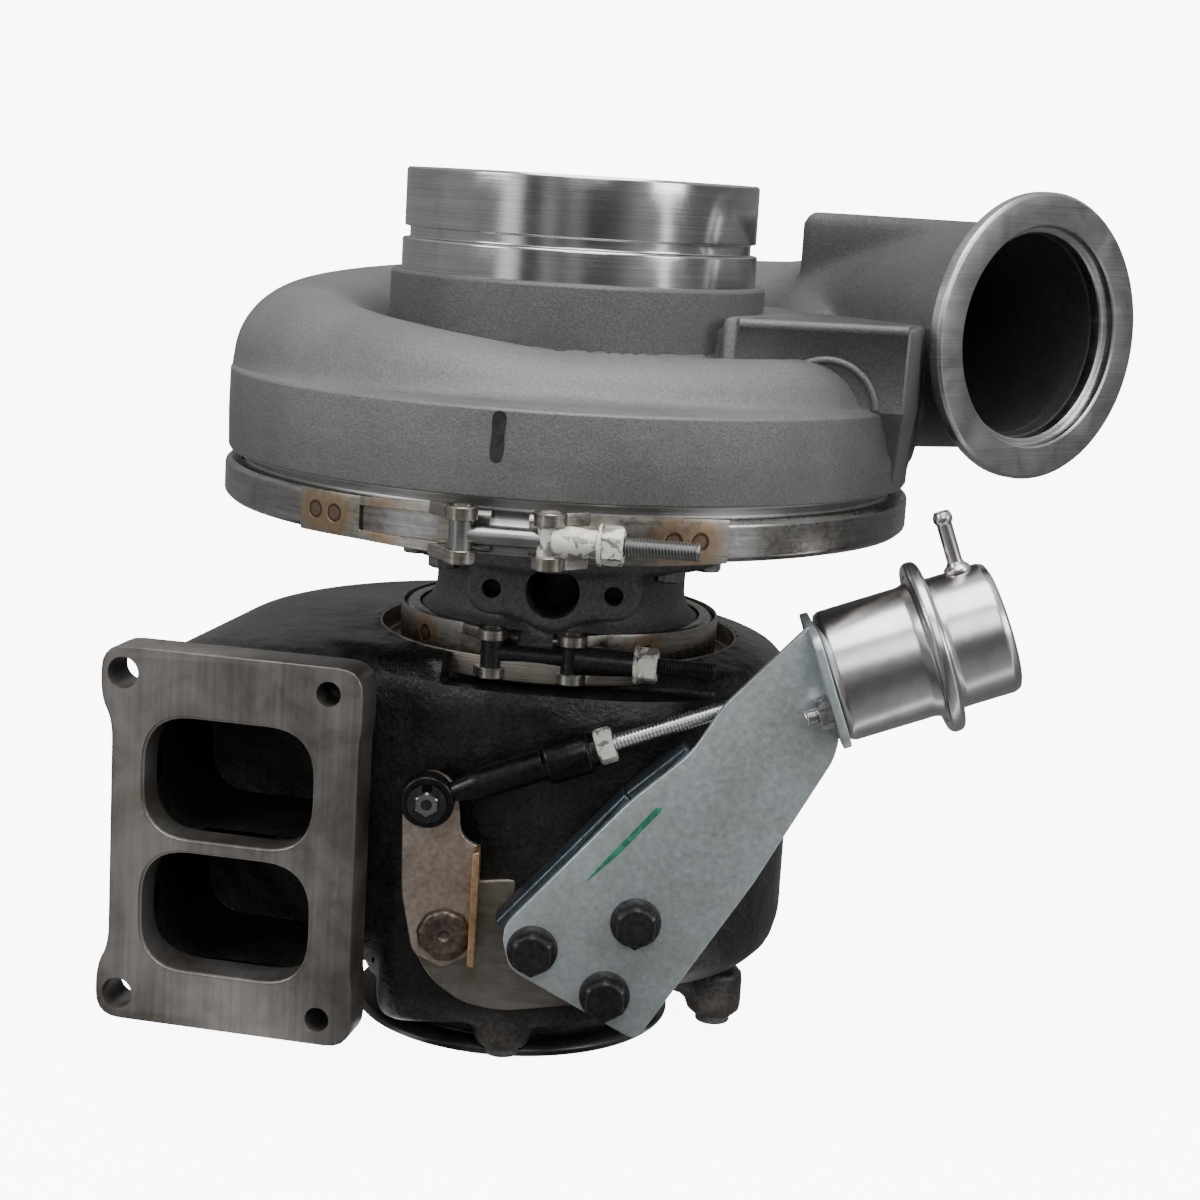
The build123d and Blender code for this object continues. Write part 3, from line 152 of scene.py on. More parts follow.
def inset(outline, distance):
    """A closed counter-clockwise outline moved inwards, each point along the mean of its sides' normals."""
    p = np.asarray(outline, float)
    ahead, behind = np.roll(p, -1, 0) - p, p - np.roll(p, 1, 0)
    n1 = np.stack([-ahead[:, 1], ahead[:, 0]], 1) / np.maximum(np.linalg.norm(ahead, axis=1), 1e-9)[:, None]
    n2 = np.stack([-behind[:, 1], behind[:, 0]], 1) / np.maximum(np.linalg.norm(behind, axis=1), 1e-9)[:, None]
    n = n1 + n2
    n = n / np.maximum(np.linalg.norm(n, axis=1), 1e-9)[:, None]
    stretch = 1 / np.maximum((n * n1).sum(1), 0.5)
    return p + n * (distance * stretch)[:, None]


def counter_clockwise(outline):
    p = np.asarray(outline, float)
    q = np.roll(p, -1, 0)
    return p if (p[:, 0] * q[:, 1] - q[:, 0] * p[:, 1]).sum() > 0 else p[::-1]


def prism(outline, low, high, where=WORLD, edge=0.6, corner=0.0, bend=4):
    """A flat plate: the outline at its full size between the faces, drawn in at both faces by the edge's
    quarter round."""
    p = counter_clockwise(outline)
    if corner:
        p = soft_corners(p, corner, bend)
    e = min(edge, (high - low) * 0.45)
    turn = np.linspace(0, np.pi / 2, 4)
    steps = [(e * (1 - np.sin(a)), low + e * (1 - np.cos(a))) for a in turn]
    steps += [(d, low + high - h) for d, h in steps[::-1]]
    rings = []
    for d, h in steps:
        q = inset(p, d) if d > 1e-6 else p
        rings.append(np.column_stack([q, np.full(len(q), h)]))
    grid = np.array(rings[::-1])
    return surface(place(grid, where), wrap_rows=False, cap_rows=True)


def hexagon(across_flats, low, high, where=WORLD, hole=0.0, steps=72, chamfer=0.14):
    """A hexagon whose ends are cut by a cone: the corner's radius falls with its distance from the face."""
    a = np.linspace(0, TAU, steps, endpoint=False)
    flat = across_flats / 2
    r = flat / np.cos((a + np.pi / 6) % (np.pi / 3) - np.pi / 6)
    peak = flat / np.cos(np.pi / 6)
    drop = across_flats * chamfer * 0.4
    rows = []
    for h, top in ((low, drop), (low, 0.0), (low + drop, None), (high - drop, None), (high, 0.0)):
        limit = flat * 0.97 if top is not None else peak
        rows.append(np.stack([np.minimum(r, limit) * np.cos(a), np.minimum(r, limit) * np.sin(a),
                              np.full_like(a, h)], 1))
    rows = rows[1:]
    inner = max(hole, 0.05)
    rim = np.stack([inner * np.cos(a), inner * np.sin(a), np.full_like(a, high)], 1)
    foot = np.stack([inner * np.cos(a), inner * np.sin(a), np.full_like(a, low)], 1)
    grid = np.array(rows + [rim, foot])
    return surface(place(grid[::-1], where), wrap_rows=True)


def screw(radius, pitch, low, high, where=WORLD, depth=None, steps=32):
    """A threaded bar: the radius falls and rises once a pitch, and the pattern climbs one pitch a turn."""
    depth = 0.54 * pitch if depth is None else depth
    rows = int((high - low) / pitch * 8) + 1
    h = np.linspace(low, high, rows)[:, None]
    a = np.linspace(0, TAU, steps, endpoint=False)[None, :]
    wave = np.abs(((h / pitch - a / TAU) % 1.0) * 2 - 1)
    fade = np.clip(np.minimum(h - low, high - h) / (0.6 * pitch), 0, 1)
    r = radius - depth * (1 - wave * fade)
    grid = np.stack([r * np.cos(a), r * np.sin(a), h + 0 * a], -1)
    return surface(place(grid[::-1], where), wrap_rows=False, cap_rows=True)


def bar(radius, low, high, where=WORLD, edge=0.4, steps=40):
    e = min(edge, (high - low) * 0.4, radius * 0.5)
    return turned([(0.02, low), (radius - e, low), (radius, low + e), (radius, high - e), (radius - e, high),
                   (0.02, high)], where, steps)


def swept(path, sections, wrap_path=False):
    """Closed sections (k, m, 2) carried along a path (k, 3): x sideways, y towards the path's own up."""
    p = np.asarray(path, float)
    ahead = np.gradient(p, axis=0)
    ahead /= np.linalg.norm(ahead, axis=1)[:, None]
    up = np.array([0, 0, 1.0])[None, :] - ahead * ahead[:, 2:3]
    up /= np.linalg.norm(up, axis=1)[:, None]
    side = np.cross(ahead, up)
    s = np.asarray(sections, float)
    grid = p[:, None] + side[:, None] * s[..., 0:1] + up[:, None] * s[..., 1:2]
    return surface(grid, wrap_rows=wrap_path, cap_rows=not wrap_path)


def stacked(rings):
    """Level circles, each told as (x, y, z, radius), joined from one to the next."""
    a = np.linspace(0, TAU, 64, endpoint=False)
    grid = np.array([np.stack([x + r * np.cos(a), y + r * np.sin(a), z + 0 * a], 1) for x, y, z, r in rings])
    return surface(grid, wrap_rows=False, cap_rows=True)


def circle(radius, steps=48):
    a = np.linspace(0, TAU, steps, endpoint=False)
    return np.stack([radius * np.cos(a), radius * np.sin(a)], 1)


# ---------------------------------------------------------------- pieces
def joined(parts):
    """Several (vertices, faces) pairs as one."""
    vertices, faces, count = [], [], 0
    for v, f in parts:
        vertices.append(v)
        faces += [[i + count for i in face] for face in f]
        count += len(v)
    return np.vstack(vertices), faces


def bare_object(name, parts):
    vertices, faces = joined(parts)
    mesh = bpy.data.meshes.new(name)
    mesh.from_pydata((vertices * MM).tolist(), [], faces)
    mesh.update()
    work = bmesh.new()
    work.from_mesh(mesh)
    bmesh.ops.remove_doubles(work, verts=work.verts, dist=1e-6)
    bmesh.ops.recalc_face_normals(work, faces=work.faces)
    work.to_mesh(mesh)
    work.free()
    thing = bpy.data.objects.new(name, mesh)
    bpy.context.scene.collection.objects.link(thing)
    return thing


def applied(thing):
    """The object with its modifiers made part of its mesh."""
    bpy.context.view_layer.update()
    graph = bpy.context.evaluated_depsgraph_get()
    mesh = bpy.data.meshes.new_from_object(thing.evaluated_get(graph))
    thing.modifiers.clear()
    old = thing.data
    thing.data = mesh
    mesh.name = thing.name
    bpy.data.meshes.remove(old)
    return thing


def cut(thing, parts):
    """Closed surfaces taken away from an object."""
    tool = bare_object("cutter", parts)
    step = thing.modifiers.new("cut", "BOOLEAN")
    step.operation, step.solver, step.object = "DIFFERENCE", "EXACT", tool
    step.use_self = True
    applied(thing)
    bpy.data.objects.remove(tool)
    return thing


def fused(name, parts, voxel, smoothing):
    """Overlapping closed surfaces melted into one skin, with every inner corner filled by the smoothing."""
    thing = bare_object(name, parts)
    step = thing.modifiers.new("melt", "REMESH")
    step.mode, step.voxel_size = "VOXEL", voxel * MM
    step = thing.modifiers.new("soften", "SMOOTH")
    step.factor, step.iterations = 0.5, smoothing
    return applied(thing)


def finish_piece(thing, body, finish, replaces=(), sharp=32.0):
    for face_material in (finish if isinstance(finish, (list, tuple)) else [finish]):
        thing.data.materials.append(face_material)
    thing.data.shade_smooth()
    thing.data.set_sharp_from_angle(angle=np.radians(sharp))
    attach(thing, body)
    if replaces:
        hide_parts(*replaces)
    return thing


def piece(name, parts, body, finish, replaces=(), sharp=32.0):
    return finish_piece(bare_object(name, parts), body, finish, replaces, sharp)


# ---------------------------------------------------------------- finishes
class Finish:
    """A material made of nodes, with short names for the ones used most."""

    def __init__(self, name, metallic=0.0, roughness=0.5, specular=0.5):
        self.material = bpy.data.materials.new(name)
        self.material.use_nodes = True
        self.tree = self.material.node_tree
        self.shader = self.tree.nodes["Principled BSDF"]
        self.shader.inputs["Metallic"].default_value = metallic
        self.shader.inputs["Roughness"].default_value = roughness
        self.shader.inputs["Specular IOR Level"].default_value = specular
        self.place = self.tree.nodes.new("ShaderNodeTexCoord").outputs["Object"]

    def link(self, source, target):
        self.tree.links.new(source, target)

    def moved(self, scale=(1, 1, 1), turn=(0, 0, 0), shift=(0, 0, 0)):
        node = self.tree.nodes.new("ShaderNodeMapping")
        node.inputs["Scale"].default_value = scale
        node.inputs["Rotation"].default_value = turn
        node.inputs["Location"].default_value = shift
        self.link(self.place, node.inputs["Vector"])
        return node.outputs["Vector"]

    def noise(self, scale, detail=2.0, rough=0.5, where=None, distort=0.0):
        node = self.tree.nodes.new("ShaderNodeTexNoise")
        node.inputs["Scale"].default_value = scale
        node.inputs["Detail"].default_value = detail
        node.inputs["Roughness"].default_value = rough
        node.inputs["Distortion"].default_value = distort
        self.link(where or self.place, node.inputs["Vector"])
        return node.outputs["Fac"]

    def cells(self, scale, where=None):
        node = self.tree.nodes.new("ShaderNodeTexVoronoi")
        node.inputs["Scale"].default_value = scale
        self.link(where or self.place, node.inputs["Vector"])
        return node.outputs["Distance"]

    def ramp(self, value, stops, sharp=False):
        node = self.tree.nodes.new("ShaderNodeValToRGB")
        node.color_ramp.interpolation = "CONSTANT" if sharp else "LINEAR"
        band = node.color_ramp.elements
        while len(band) < len(stops):
            band.new(0.5)
        for element, (at, colour) in zip(band, stops):
            element.position = at
            c = colour if isinstance(colour, (list, tuple)) else (colour,) * 3
            element.color = (*c, 1)
        self.link(value, node.inputs["Fac"])
        return node.outputs["Color"]

    def sum(self, a, b, kind="ADD"):
        node = self.tree.nodes.new("ShaderNodeMath")
        node.operation = kind
        for socket, value in zip(node.inputs, (a, b)):
            if isinstance(value, (int, float)):
                socket.default_value = value
            else:
                self.link(value, socket)
        return node.outputs["Value"]

    def mix(self, amount, a, b, kind="MIX"):
        node = self.tree.nodes.new("ShaderNodeMix")
        node.data_type, node.blend_type = "RGBA", kind
        for socket, value in ((node.inputs[0], amount), (node.inputs[6], a), (node.inputs[7], b)):
            if isinstance(value, (int, float)):
                socket.default_value = value
            elif isinstance(value, (tuple, list)):
                socket.default_value = (*value, 1)
            else:
                self.link(value, socket)
        return node.outputs[2]

    def height(self):
        """Position along z, in metres."""
        node = self.tree.nodes.new("ShaderNodeSeparateXYZ")
        self.link(self.place, node.inputs[0])
        return node.outputs["Z"]

    def near(self, centre, radius, soft, where=None):
        """1 within a radius in metres of a point, falling to 0 over the soft width."""
        node = self.tree.nodes.new("ShaderNodeVectorMath")
        node.operation = "DISTANCE"
        self.link(where or self.place, node.inputs[0])
        node.inputs[1].default_value = centre
        step = self.tree.nodes.new("ShaderNodeMapRange")
        step.inputs["From Min"].default_value = radius + soft
        step.inputs["From Max"].default_value = radius
        self.link(node.outputs["Value"], step.inputs["Value"])
        return step.outputs["Result"]

    def colour(self, value):
        self.link(value, self.shader.inputs["Base Color"])
        return self

    def roughness(self, value):
        self.link(value, self.shader.inputs["Roughness"])
        return self

    def bumps(self, *layers):
        """Layers of (height, strength, distance in metres), one on the other."""
        normal = None
        for value, strength, distance in layers:
            node = self.tree.nodes.new("ShaderNodeBump")
            node.inputs["Strength"].default_value = strength
            node.inputs["Distance"].default_value = distance
            self.link(value, node.inputs["Height"])
            if normal:
                self.link(normal, node.inputs["Normal"])
            normal = node.outputs["Normal"]
        self.link(normal, self.shader.inputs["Normal"])
        return self


def sand_cast(name, low, high, metallic, rough, grain=900.0, bump=0.5, stain=(0.8, 1.0), painted_shade_areas=()):
    """Sand-cast metal: a speckled grain, slow cloudy changes of tone, and a pitted skin. Each painted-shade area
    darkens the tone to stand in for shade there, and is (centre in metres, radius, soft width, how much of the tone is
    left)."""
    f = Finish(name, metallic)
    speck = f.noise(grain, 3.0, 0.65)
    cloud = f.noise(22.0, 4.0, 0.55)
    tone = f.ramp(speck, [(0.30, low), (0.70, high)])
    shade = f.ramp(cloud, [(0.35, stain[0]), (0.62, stain[1])])
    tone = f.mix(1.0, tone, shade, "MULTIPLY")
    # painted shade: the tone is darkened inside each area
    for centre, radius, soft, left in painted_shade_areas:
        tone = f.mix(f.near(centre, radius, soft), tone, f.mix(1.0, tone, (left,) * 3, "MULTIPLY"))
    f.colour(tone)
    f.roughness(f.ramp(cloud, [(0.3, rough - 0.08), (0.7, rough + 0.08)]))
    f.bumps((speck, bump, 0.0003), (f.noise(170.0, 3.0, 0.6), bump * 0.5, 0.0008))
    return f.material


def machined(name, low, high, rough, along_z=2600.0, metallic=1.0, bump=0.12, patchy=0.1):
    """Turned metal: fine rings round the z axis, a few broader bright and dull bands, light handling marks."""
    f = Finish(name, metallic)
    rings = f.noise(1.0, 4.0, 0.7, f.moved((14, 14, along_z)))
    marks = f.noise(60.0, 5.0, 0.6, distort=0.6)
    tone = f.ramp(rings, [(0.30, low), (0.72, high)])
    f.colour(f.mix(1.0, tone, f.ramp(marks, [(0.35, 0.86), (0.6, 1.0)]), "MULTIPLY"))
    f.roughness(f.ramp(marks, [(0.3, rough - 0.6 * patchy), (0.7, rough + patchy)]))
    f.bumps((rings, bump, 0.0002))
    return f.material


def sheet_steel(name, low, high, rough, stain, metallic=1.0, grain=(60, 60, 60), spots=420.0, relief=1.0):
    """Rolled or plated sheet: faint streaks, small spots and cloudy stains."""
    f = Finish(name, metallic)
    streaks = f.noise(9.0, 5.0, 0.6, f.moved(grain))
    cloud = f.noise(34.0, 5.0, 0.62, distort=0.8)
    tone = f.ramp(streaks, [(0.32, low), (0.68, high)])
    dirt = f.ramp(cloud, [(0.38, stain), (0.58, (1.0, 1.0, 1.0))])
    f.colour(f.mix(0.75, tone, dirt, "MULTIPLY"))
    f.roughness(f.ramp(f.noise(spots, 3.0, 0.6), [(0.3, rough - 0.07 * relief), (0.7, rough + 0.1 * relief)]))
    f.bumps((streaks, 0.06 * relief, 0.0003), (cloud, 0.05 * relief, 0.001))
    return f.material


def painted(name, base, paint, coverage, metallic, rough, patch=230.0):
    """Bare metal with worn patches of paint: the paint shows where a cloudy pattern is above a level."""
    f = Finish(name, metallic)
    cloud = f.noise(patch, 4.0, 0.6, distort=0.4)
    mask = f.ramp(cloud, [(coverage - 0.03, 1.0), (coverage + 0.03, 0.0)])
    fine = f.noise(1400.0, 3.0, 0.6)
    metal = f.ramp(fine, [(0.3, tuple(c * 0.75 for c in base)), (0.7, base)])
    dab = f.ramp(fine, [(0.3, tuple(c * 0.88 for c in paint)), (0.7, paint)])
    f.colour(f.mix(mask, metal, dab))
    f.roughness(f.ramp(mask, [(0.0, rough), (1.0, 0.7)]))
    f.bumps((mask, 0.3, 0.0003), (fine, 0.1, 0.0002))
    return f.material


def milled(name, low, high, rough, grain, stain, metallic=0.8):
    """A cut face: fine parallel tool marks along one direction under cloudy oil stains."""
    f = Finish(name, metallic)
    marks = f.noise(1.0, 4.0, 0.65, f.moved(grain))
    cloud = f.noise(38.0, 5.0, 0.6, distort=0.5)
    tone = f.ramp(marks, [(0.30, low), (0.72, high)])
    f.colour(f.mix(0.9, tone, f.ramp(cloud, [(0.36, stain), (0.60, (1.0, 1.0, 1.0))]), "MULTIPLY"))
    f.roughness(f.ramp(cloud, [(0.3, rough - 0.08), (0.7, rough + 0.1)]))
    f.bumps((marks, 0.18, 0.0003), (cloud, 0.04, 0.001))
    return f.material


def spotted_strap(name):
    """Rolled strap with a brown tint round each spot weld, told by distance from the weld points."""
    f = Finish(name, 1.0)
    streaks = f.noise(9.0, 5.0, 0.6, f.moved((6, 6, 140)))
    tone = f.ramp(streaks, [(0.32, (0.27, 0.26, 0.24)), (0.68, (0.44, 0.43, 0.41))])
    cloud = f.noise(90.0, 4.0, 0.6, distort=0.6)
    tint = f.ramp(cloud, [(0.40, (0.66, 0.56, 0.44)), (0.62, (1.0, 0.97, 0.93))])
    halo = ring = dot = 0.0
    for spot in STRAP_WELDS:
        centre = tuple(c * MM for c in spot)
        halo = f.sum(halo, f.near(centre, 0.0050, 0.0045), "MAXIMUM")
        ring = f.sum(ring, f.near(centre, 0.0027, 0.0006), "MAXIMUM")
        dot = f.sum(dot, f.near(centre, 0.0019, 0.0006), "MAXIMUM")
    tanned = f.mix(halo, f.mix(0.6, tone, tint, "MULTIPLY"), f.mix(cloud, (0.30, 0.20, 0.12), (0.46, 0.35, 0.24)))
    f.colour(f.mix(dot, f.mix(ring, tanned, (0.10, 0.065, 0.045)), (0.25, 0.18, 0.13)))
    f.roughness(f.ramp(f.noise(420.0, 3.0, 0.6), [(0.3, 0.24), (0.7, 0.38)]))
    f.bumps((streaks, 0.06, 0.0003), (ring, 0.5, -0.0003))
    return f.material


CLAMP_ANGLE = -86.0
STRAP_WELDS = [around(CLAMP_ANGLE + turn, radius, height) for turn, radius, height in (
    (-32.2, 126, 200.4), (-28.4, 126, 200.2), (-19.8, 126, 200), (23.9, 126, 200), (28.0, 126, 200),
    (-46, 59, 148.5), (40, 59, 148.5), (120, 59, 148.5), (-120, 59, 148.5))]

# The cast aluminium is darkened round the outlet pipe by a painted-shade area.
CAST_ALUMINIUM = sand_cast("sand_cast_aluminium", (0.125, 0.127, 0.123), (0.212, 0.215, 0.209), 0.45, 0.55, 1300.0,
                           0.6, (0.80, 1.0), [((0.150, 0.030, 0.262), 0.058, 0.06, 0.62)])
CAST_COLLAR = sand_cast("sand_cast_collar", (0.085, 0.085, 0.083), (0.155, 0.155, 0.152), 0.4, 0.58, 1300.0, 0.6,
                        (0.78, 1.0))
# A near-black copy of the cast aluminium, used only as painted shade inside the outlet pipe.
CAST_PAINTED_SHADE = sand_cast("painted_shade_inside_pipe", (0.022, 0.024, 0.026), (0.055, 0.058, 0.062), 0.3, 0.5, 1300.0)
CORE_IRON = sand_cast("grey_cast_iron", (0.10, 0.10, 0.105), (0.21, 0.21, 0.215), 0.4, 0.55)


def oily_iron(name):
    """Near-black rough casting with a wet sheen, turning a dull grey-brown below the volute."""
    f = Finish(name, 0.35)
    speck = f.noise(620.0, 3.0, 0.65)
    cloud = f.noise(24.0, 5.0, 0.6, distort=0.4)
    dark = f.mix(1.0, f.ramp(speck, [(0.30, (0.010, 0.0095, 0.009)), (0.70, (0.045, 0.042, 0.040))]),
                 f.ramp(cloud, [(0.35, 0.45), (0.62, 1.0)]), "MULTIPLY")
    dull = f.ramp(speck, [(0.30, (0.045, 0.040, 0.036)), (0.70, (0.12, 0.108, 0.096))])
    low = f.ramp(f.sum(f.height(), 10.0, "MULTIPLY"), [(0.10, 1.0), (0.24, 0.0)])
    f.colour(f.mix(low, dark, dull))
    f.roughness(f.ramp(cloud, [(0.3, 0.24), (0.7, 0.42)]))
    f.bumps((speck, 0.8, 0.0004), (f.noise(150.0, 4.0, 0.6), 0.5, 0.001), (f.noise(36.0, 2.0, 0.5), 0.5, 0.006))
    return f.material


TURBINE_IRON = oily_iron("oily_black_cast_iron")
INLET_BAND = machined("turned_inlet_band", (0.46, 0.46, 0.46), (0.66, 0.66, 0.65), 0.15, bump=0.06, patchy=0.03)
OUTLET_FACE = machined("turned_outlet_face", (0.36, 0.36, 0.36), (0.60, 0.60, 0.59), 0.30)
RIM_ALUMINIUM = machined("turned_rim", (0.26, 0.26, 0.26), (0.46, 0.46, 0.45), 0.34)
TURNED_STEEL = machined("turned_steel", (0.20, 0.20, 0.20), (0.40, 0.40, 0.39), 0.32)
ROD_STEEL = machined("bright_rod_steel", (0.48, 0.48, 0.48), (0.74, 0.74, 0.73), 0.24)
CLAMP_STEEL = sheet_steel("clamp_steel", (0.30, 0.30, 0.29), (0.50, 0.50, 0.48), 0.30, (0.6, 0.58, 0.54),
                          grain=(5, 5, 160))
RING_STEEL = sheet_steel("clamp_ring_steel", (0.22, 0.215, 0.21), (0.38, 0.375, 0.365), 0.28, (0.6, 0.56, 0.51),
                         grain=(5, 5, 200))
STRAP_STEEL = spotted_strap("strap_with_spot_welds")
BLACK_STEEL = sheet_steel("black_steel", (0.018, 0.018, 0.020), (0.048, 0.048, 0.052), 0.36, (0.6, 0.6, 0.6), 0.6)
BLACK_GLOSS = sheet_steel("black_rod_end", (0.010, 0.010, 0.011), (0.026, 0.026, 0.028), 0.24, (0.7, 0.7, 0.7), 0.7)
BRONZE = machined("bearing_bronze", (0.40, 0.28, 0.12), (0.62, 0.46, 0.24), 0.3)
ZINC = sheet_steel("blue_zinc_plate", (0.44, 0.49, 0.51), (0.58, 0.64, 0.655), 0.38, (0.86, 0.85, 0.80), 0.7)
# The bracket's bent-back edge strip: a dark copy of the zinc plate that stands in for the shade it lies in (painted
# shade).
ZINC_PAINTED_SHADE = sheet_steel("zinc_edge_painted_shade", (0.045, 0.06, 0.075), (0.10, 0.125, 0.145), 0.34, (0.6, 0.6, 0.6), 0.7)
TAN_STEEL = sheet_steel("heat_tinted_steel", (0.38, 0.325, 0.28), (0.58, 0.51, 0.45), 0.42, (0.66, 0.56, 0.50),
                        0.8)
GOLD_EDGE = sheet_steel("straw_tinted_edge", (0.42, 0.27, 0.13), (0.62, 0.44, 0.26), 0.36, (0.75, 0.66, 0.55), 0.8)
WELD_STEEL = sheet_steel("heat_tinted_weld", (0.11, 0.09, 0.08), (0.24, 0.20, 0.17), 0.34, (0.55, 0.48, 0.42), 0.9)
CAN_STEEL = sheet_steel("bright_can_steel", (0.52, 0.50, 0.505), (0.66, 0.635, 0.64), 0.25, (0.92, 0.88, 0.90),
                        grain=(8, 8, 8), relief=0.2)
RUBBER = sheet_steel("black_rubber", (0.010, 0.010, 0.010), (0.024, 0.024, 0.024), 0.7, (0.8, 0.8, 0.8), 0.0)
WHEEL_ALUMINIUM = machined("wheel_aluminium", (0.50, 0.50, 0.50), (0.70, 0.70, 0.70), 0.28)
TURBINE_ALLOY = machined("turbine_alloy", (0.10, 0.09, 0.085), (0.22, 0.20, 0.19), 0.45)
PAINTED_NUT = painted("nut_with_white_paint", (0.34, 0.33, 0.31), (0.80, 0.78, 0.71), 0.53, 0.5, 0.35)
FLANGE_IRON = milled("milled_inlet_flange", (0.175, 0.165, 0.157), (0.25, 0.237, 0.225), 0.38, (420, 30, 14),
                     (0.60, 0.53, 0.48))
BOSS_IRON = milled("milled_boss_face", (0.22, 0.20, 0.178), (0.34, 0.315, 0.285), 0.42, (40, 40, 400),
                   (0.62, 0.54, 0.48))
SEAT_IRON = milled("turned_clamp_seat", (0.22, 0.20, 0.18), (0.46, 0.44, 0.41), 0.38, (60, 60, 1800),
                   (0.70, 0.62, 0.55))
RIM_IRON = milled("dark_outlet_rim", (0.035, 0.038, 0.040), (0.10, 0.105, 0.11), 0.32, (14, 14, 2400),
                  (0.7, 0.7, 0.7))
MARKER = painted("black_marker_ink", (0.012, 0.012, 0.013), (0.02, 0.02, 0.022), 0.5, 0.1, 0.55)
GREEN_PAINT = painted("green_paint_stroke", (0.02, 0.16, 0.10), (0.03, 0.24, 0.15), 0.5, 0.0, 0.5)

NODE_FINISH = {
    "compressor_housing": CAST_ALUMINIUM, "compressor_backplate": RIM_ALUMINIUM, "cover_o_ring": RUBBER,
    "compressor_wheel": WHEEL_ALUMINIUM, "rotor_nut": TURNED_STEEL, "shaft_and_turbine_wheel": TURBINE_ALLOY,
    "bearing_housing": CORE_IRON, "journal_bearing_turbine_end": BRONZE,
    "journal_bearing_compressor_end": BRONZE, "bearing_snap_rings": TURNED_STEEL,
    "turbine_piston_ring": TURNED_STEEL, "thrust_washer": TURNED_STEEL, "thrust_bearing": BRONZE,
    "oil_slinger": TURNED_STEEL, "oil_seal_plate": RIM_ALUMINIUM, "oil_deflector": TURNED_STEEL,
    "compressor_piston_ring": TURNED_STEEL, "seal_plate_snap_ring": TURNED_STEEL,
    "backplate_bolts": TURNED_STEEL, "heat_shield": CLAMP_STEEL, "turbine_housing": TURBINE_IRON,
    "outlet_ring": RIM_IRON, "lug_studs": CORE_IRON, "compressor_clamp_retainer": CLAMP_STEEL,
    "compressor_clamp_strap": CLAMP_STEEL, "compressor_clamp_t_bolt": TURNED_STEEL,
    "compressor_clamp_trunnion": CLAMP_STEEL, "compressor_clamp_nut": PAINTED_NUT,
    "turbine_clamp_retainer": CLAMP_STEEL, "turbine_clamp_strap": CLAMP_STEEL,
    "turbine_clamp_t_bolt": BLACK_STEEL, "turbine_clamp_trunnion": BLACK_STEEL,
    "turbine_clamp_nut": PAINTED_NUT, "spindle_bush": BLACK_STEEL, "wastegate_arm": TURBINE_ALLOY,
    "wastegate_valve": TURBINE_ALLOY, "wastegate_lever": TAN_STEEL, "lever_weld": TAN_STEEL,
    "lever_pin": BLACK_STEEL, "pin_clip": BLACK_STEEL, "rod_end": BLACK_STEEL, "jam_nut": PAINTED_NUT,
    "actuator_rod": CLAMP_STEEL, "actuator_piston": TURNED_STEEL, "piston_nut": TURNED_STEEL,
    "actuator_diaphragm": RUBBER, "actuator_body": CAN_STEEL, "actuator_cap": CAN_STEEL,
    "crimp_ring": CAN_STEEL, "hose_nipple": CAN_STEEL, "actuator_spring": TURNED_STEEL,
    "actuator_studs": CLAMP_STEEL, "stud_nuts": CLAMP_STEEL, "actuator_bracket": ZINC,
    "bracket_bolts": BLACK_STEEL,
}
for node, finish in NODE_FINISH.items():
    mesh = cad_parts[node].data
    mesh.materials.clear()
    mesh.materials.append(finish)

# ---------------------------------------------------------------- compressor cover
SCROLL_START, SCROLL_SWEEP = -10.0, 301.7
SECTION_FIRST, SECTION_LAST = 14.0, 36.5
SKIN_GROWTH = 0.25                             # what melting adds to a skin
CENTRE_FIRST, CENTRE_LAST = 88.0, 121.0
DIFFUSER_Z, COVER_BASE_Z = 217.0, 210.3
EXIT_ANGLE = 48.3
EXIT_OUT, EXIT_RUN = around(EXIT_ANGLE), around(EXIT_ANGLE - 90)
OUTLET = axes(EXIT_OUT * CENTRE_LAST + EXIT_RUN * 115.0 + np.array([0, 0, 265.5]), EXIT_RUN, EXIT_OUT)


def scroll_at(share):
    """Centre radius, section radius and centre height of the scroll: the section's area grows evenly."""
    section = np.sqrt(SECTION_FIRST ** 2 + (SECTION_LAST ** 2 - SECTION_FIRST ** 2) * share)
    centre = CENTRE_FIRST + (CENTRE_LAST - CENTRE_FIRST) * share ** 2.2
    return centre, section, DIFFUSER_Z - 4.5 + section


def reach_of(outline, start, angles):
    """How far a ray from start goes at each angle before it last leaves a closed outline."""
    p = outline[None, :, :] - start[:, None, :]
    q = np.roll(p, -1, 1)
    far = np.zeros((len(start), len(angles)))
    for k, angle in enumerate(angles):
        way = np.array([np.cos(angle), np.sin(angle)])
        side = np.array([-way[1], way[0]])
        sp, sq = p @ side, q @ side
        crossing = (sp * sq) <= 0
        t = sp / np.where(np.abs(sp - sq) < 1e-9, 1e-9, sp - sq)
        along = (p + (q - p) * t[..., None]) @ way
        far[:, k] = np.where(crossing, along, 0).max(1)
    return far


def melt(a, b, width):
    """The larger of two lengths, rounded over a width where they cross."""
    h = np.clip(width - np.abs(a - b), 0, None) / width
    return np.maximum(a, b) + h * h * width / 4


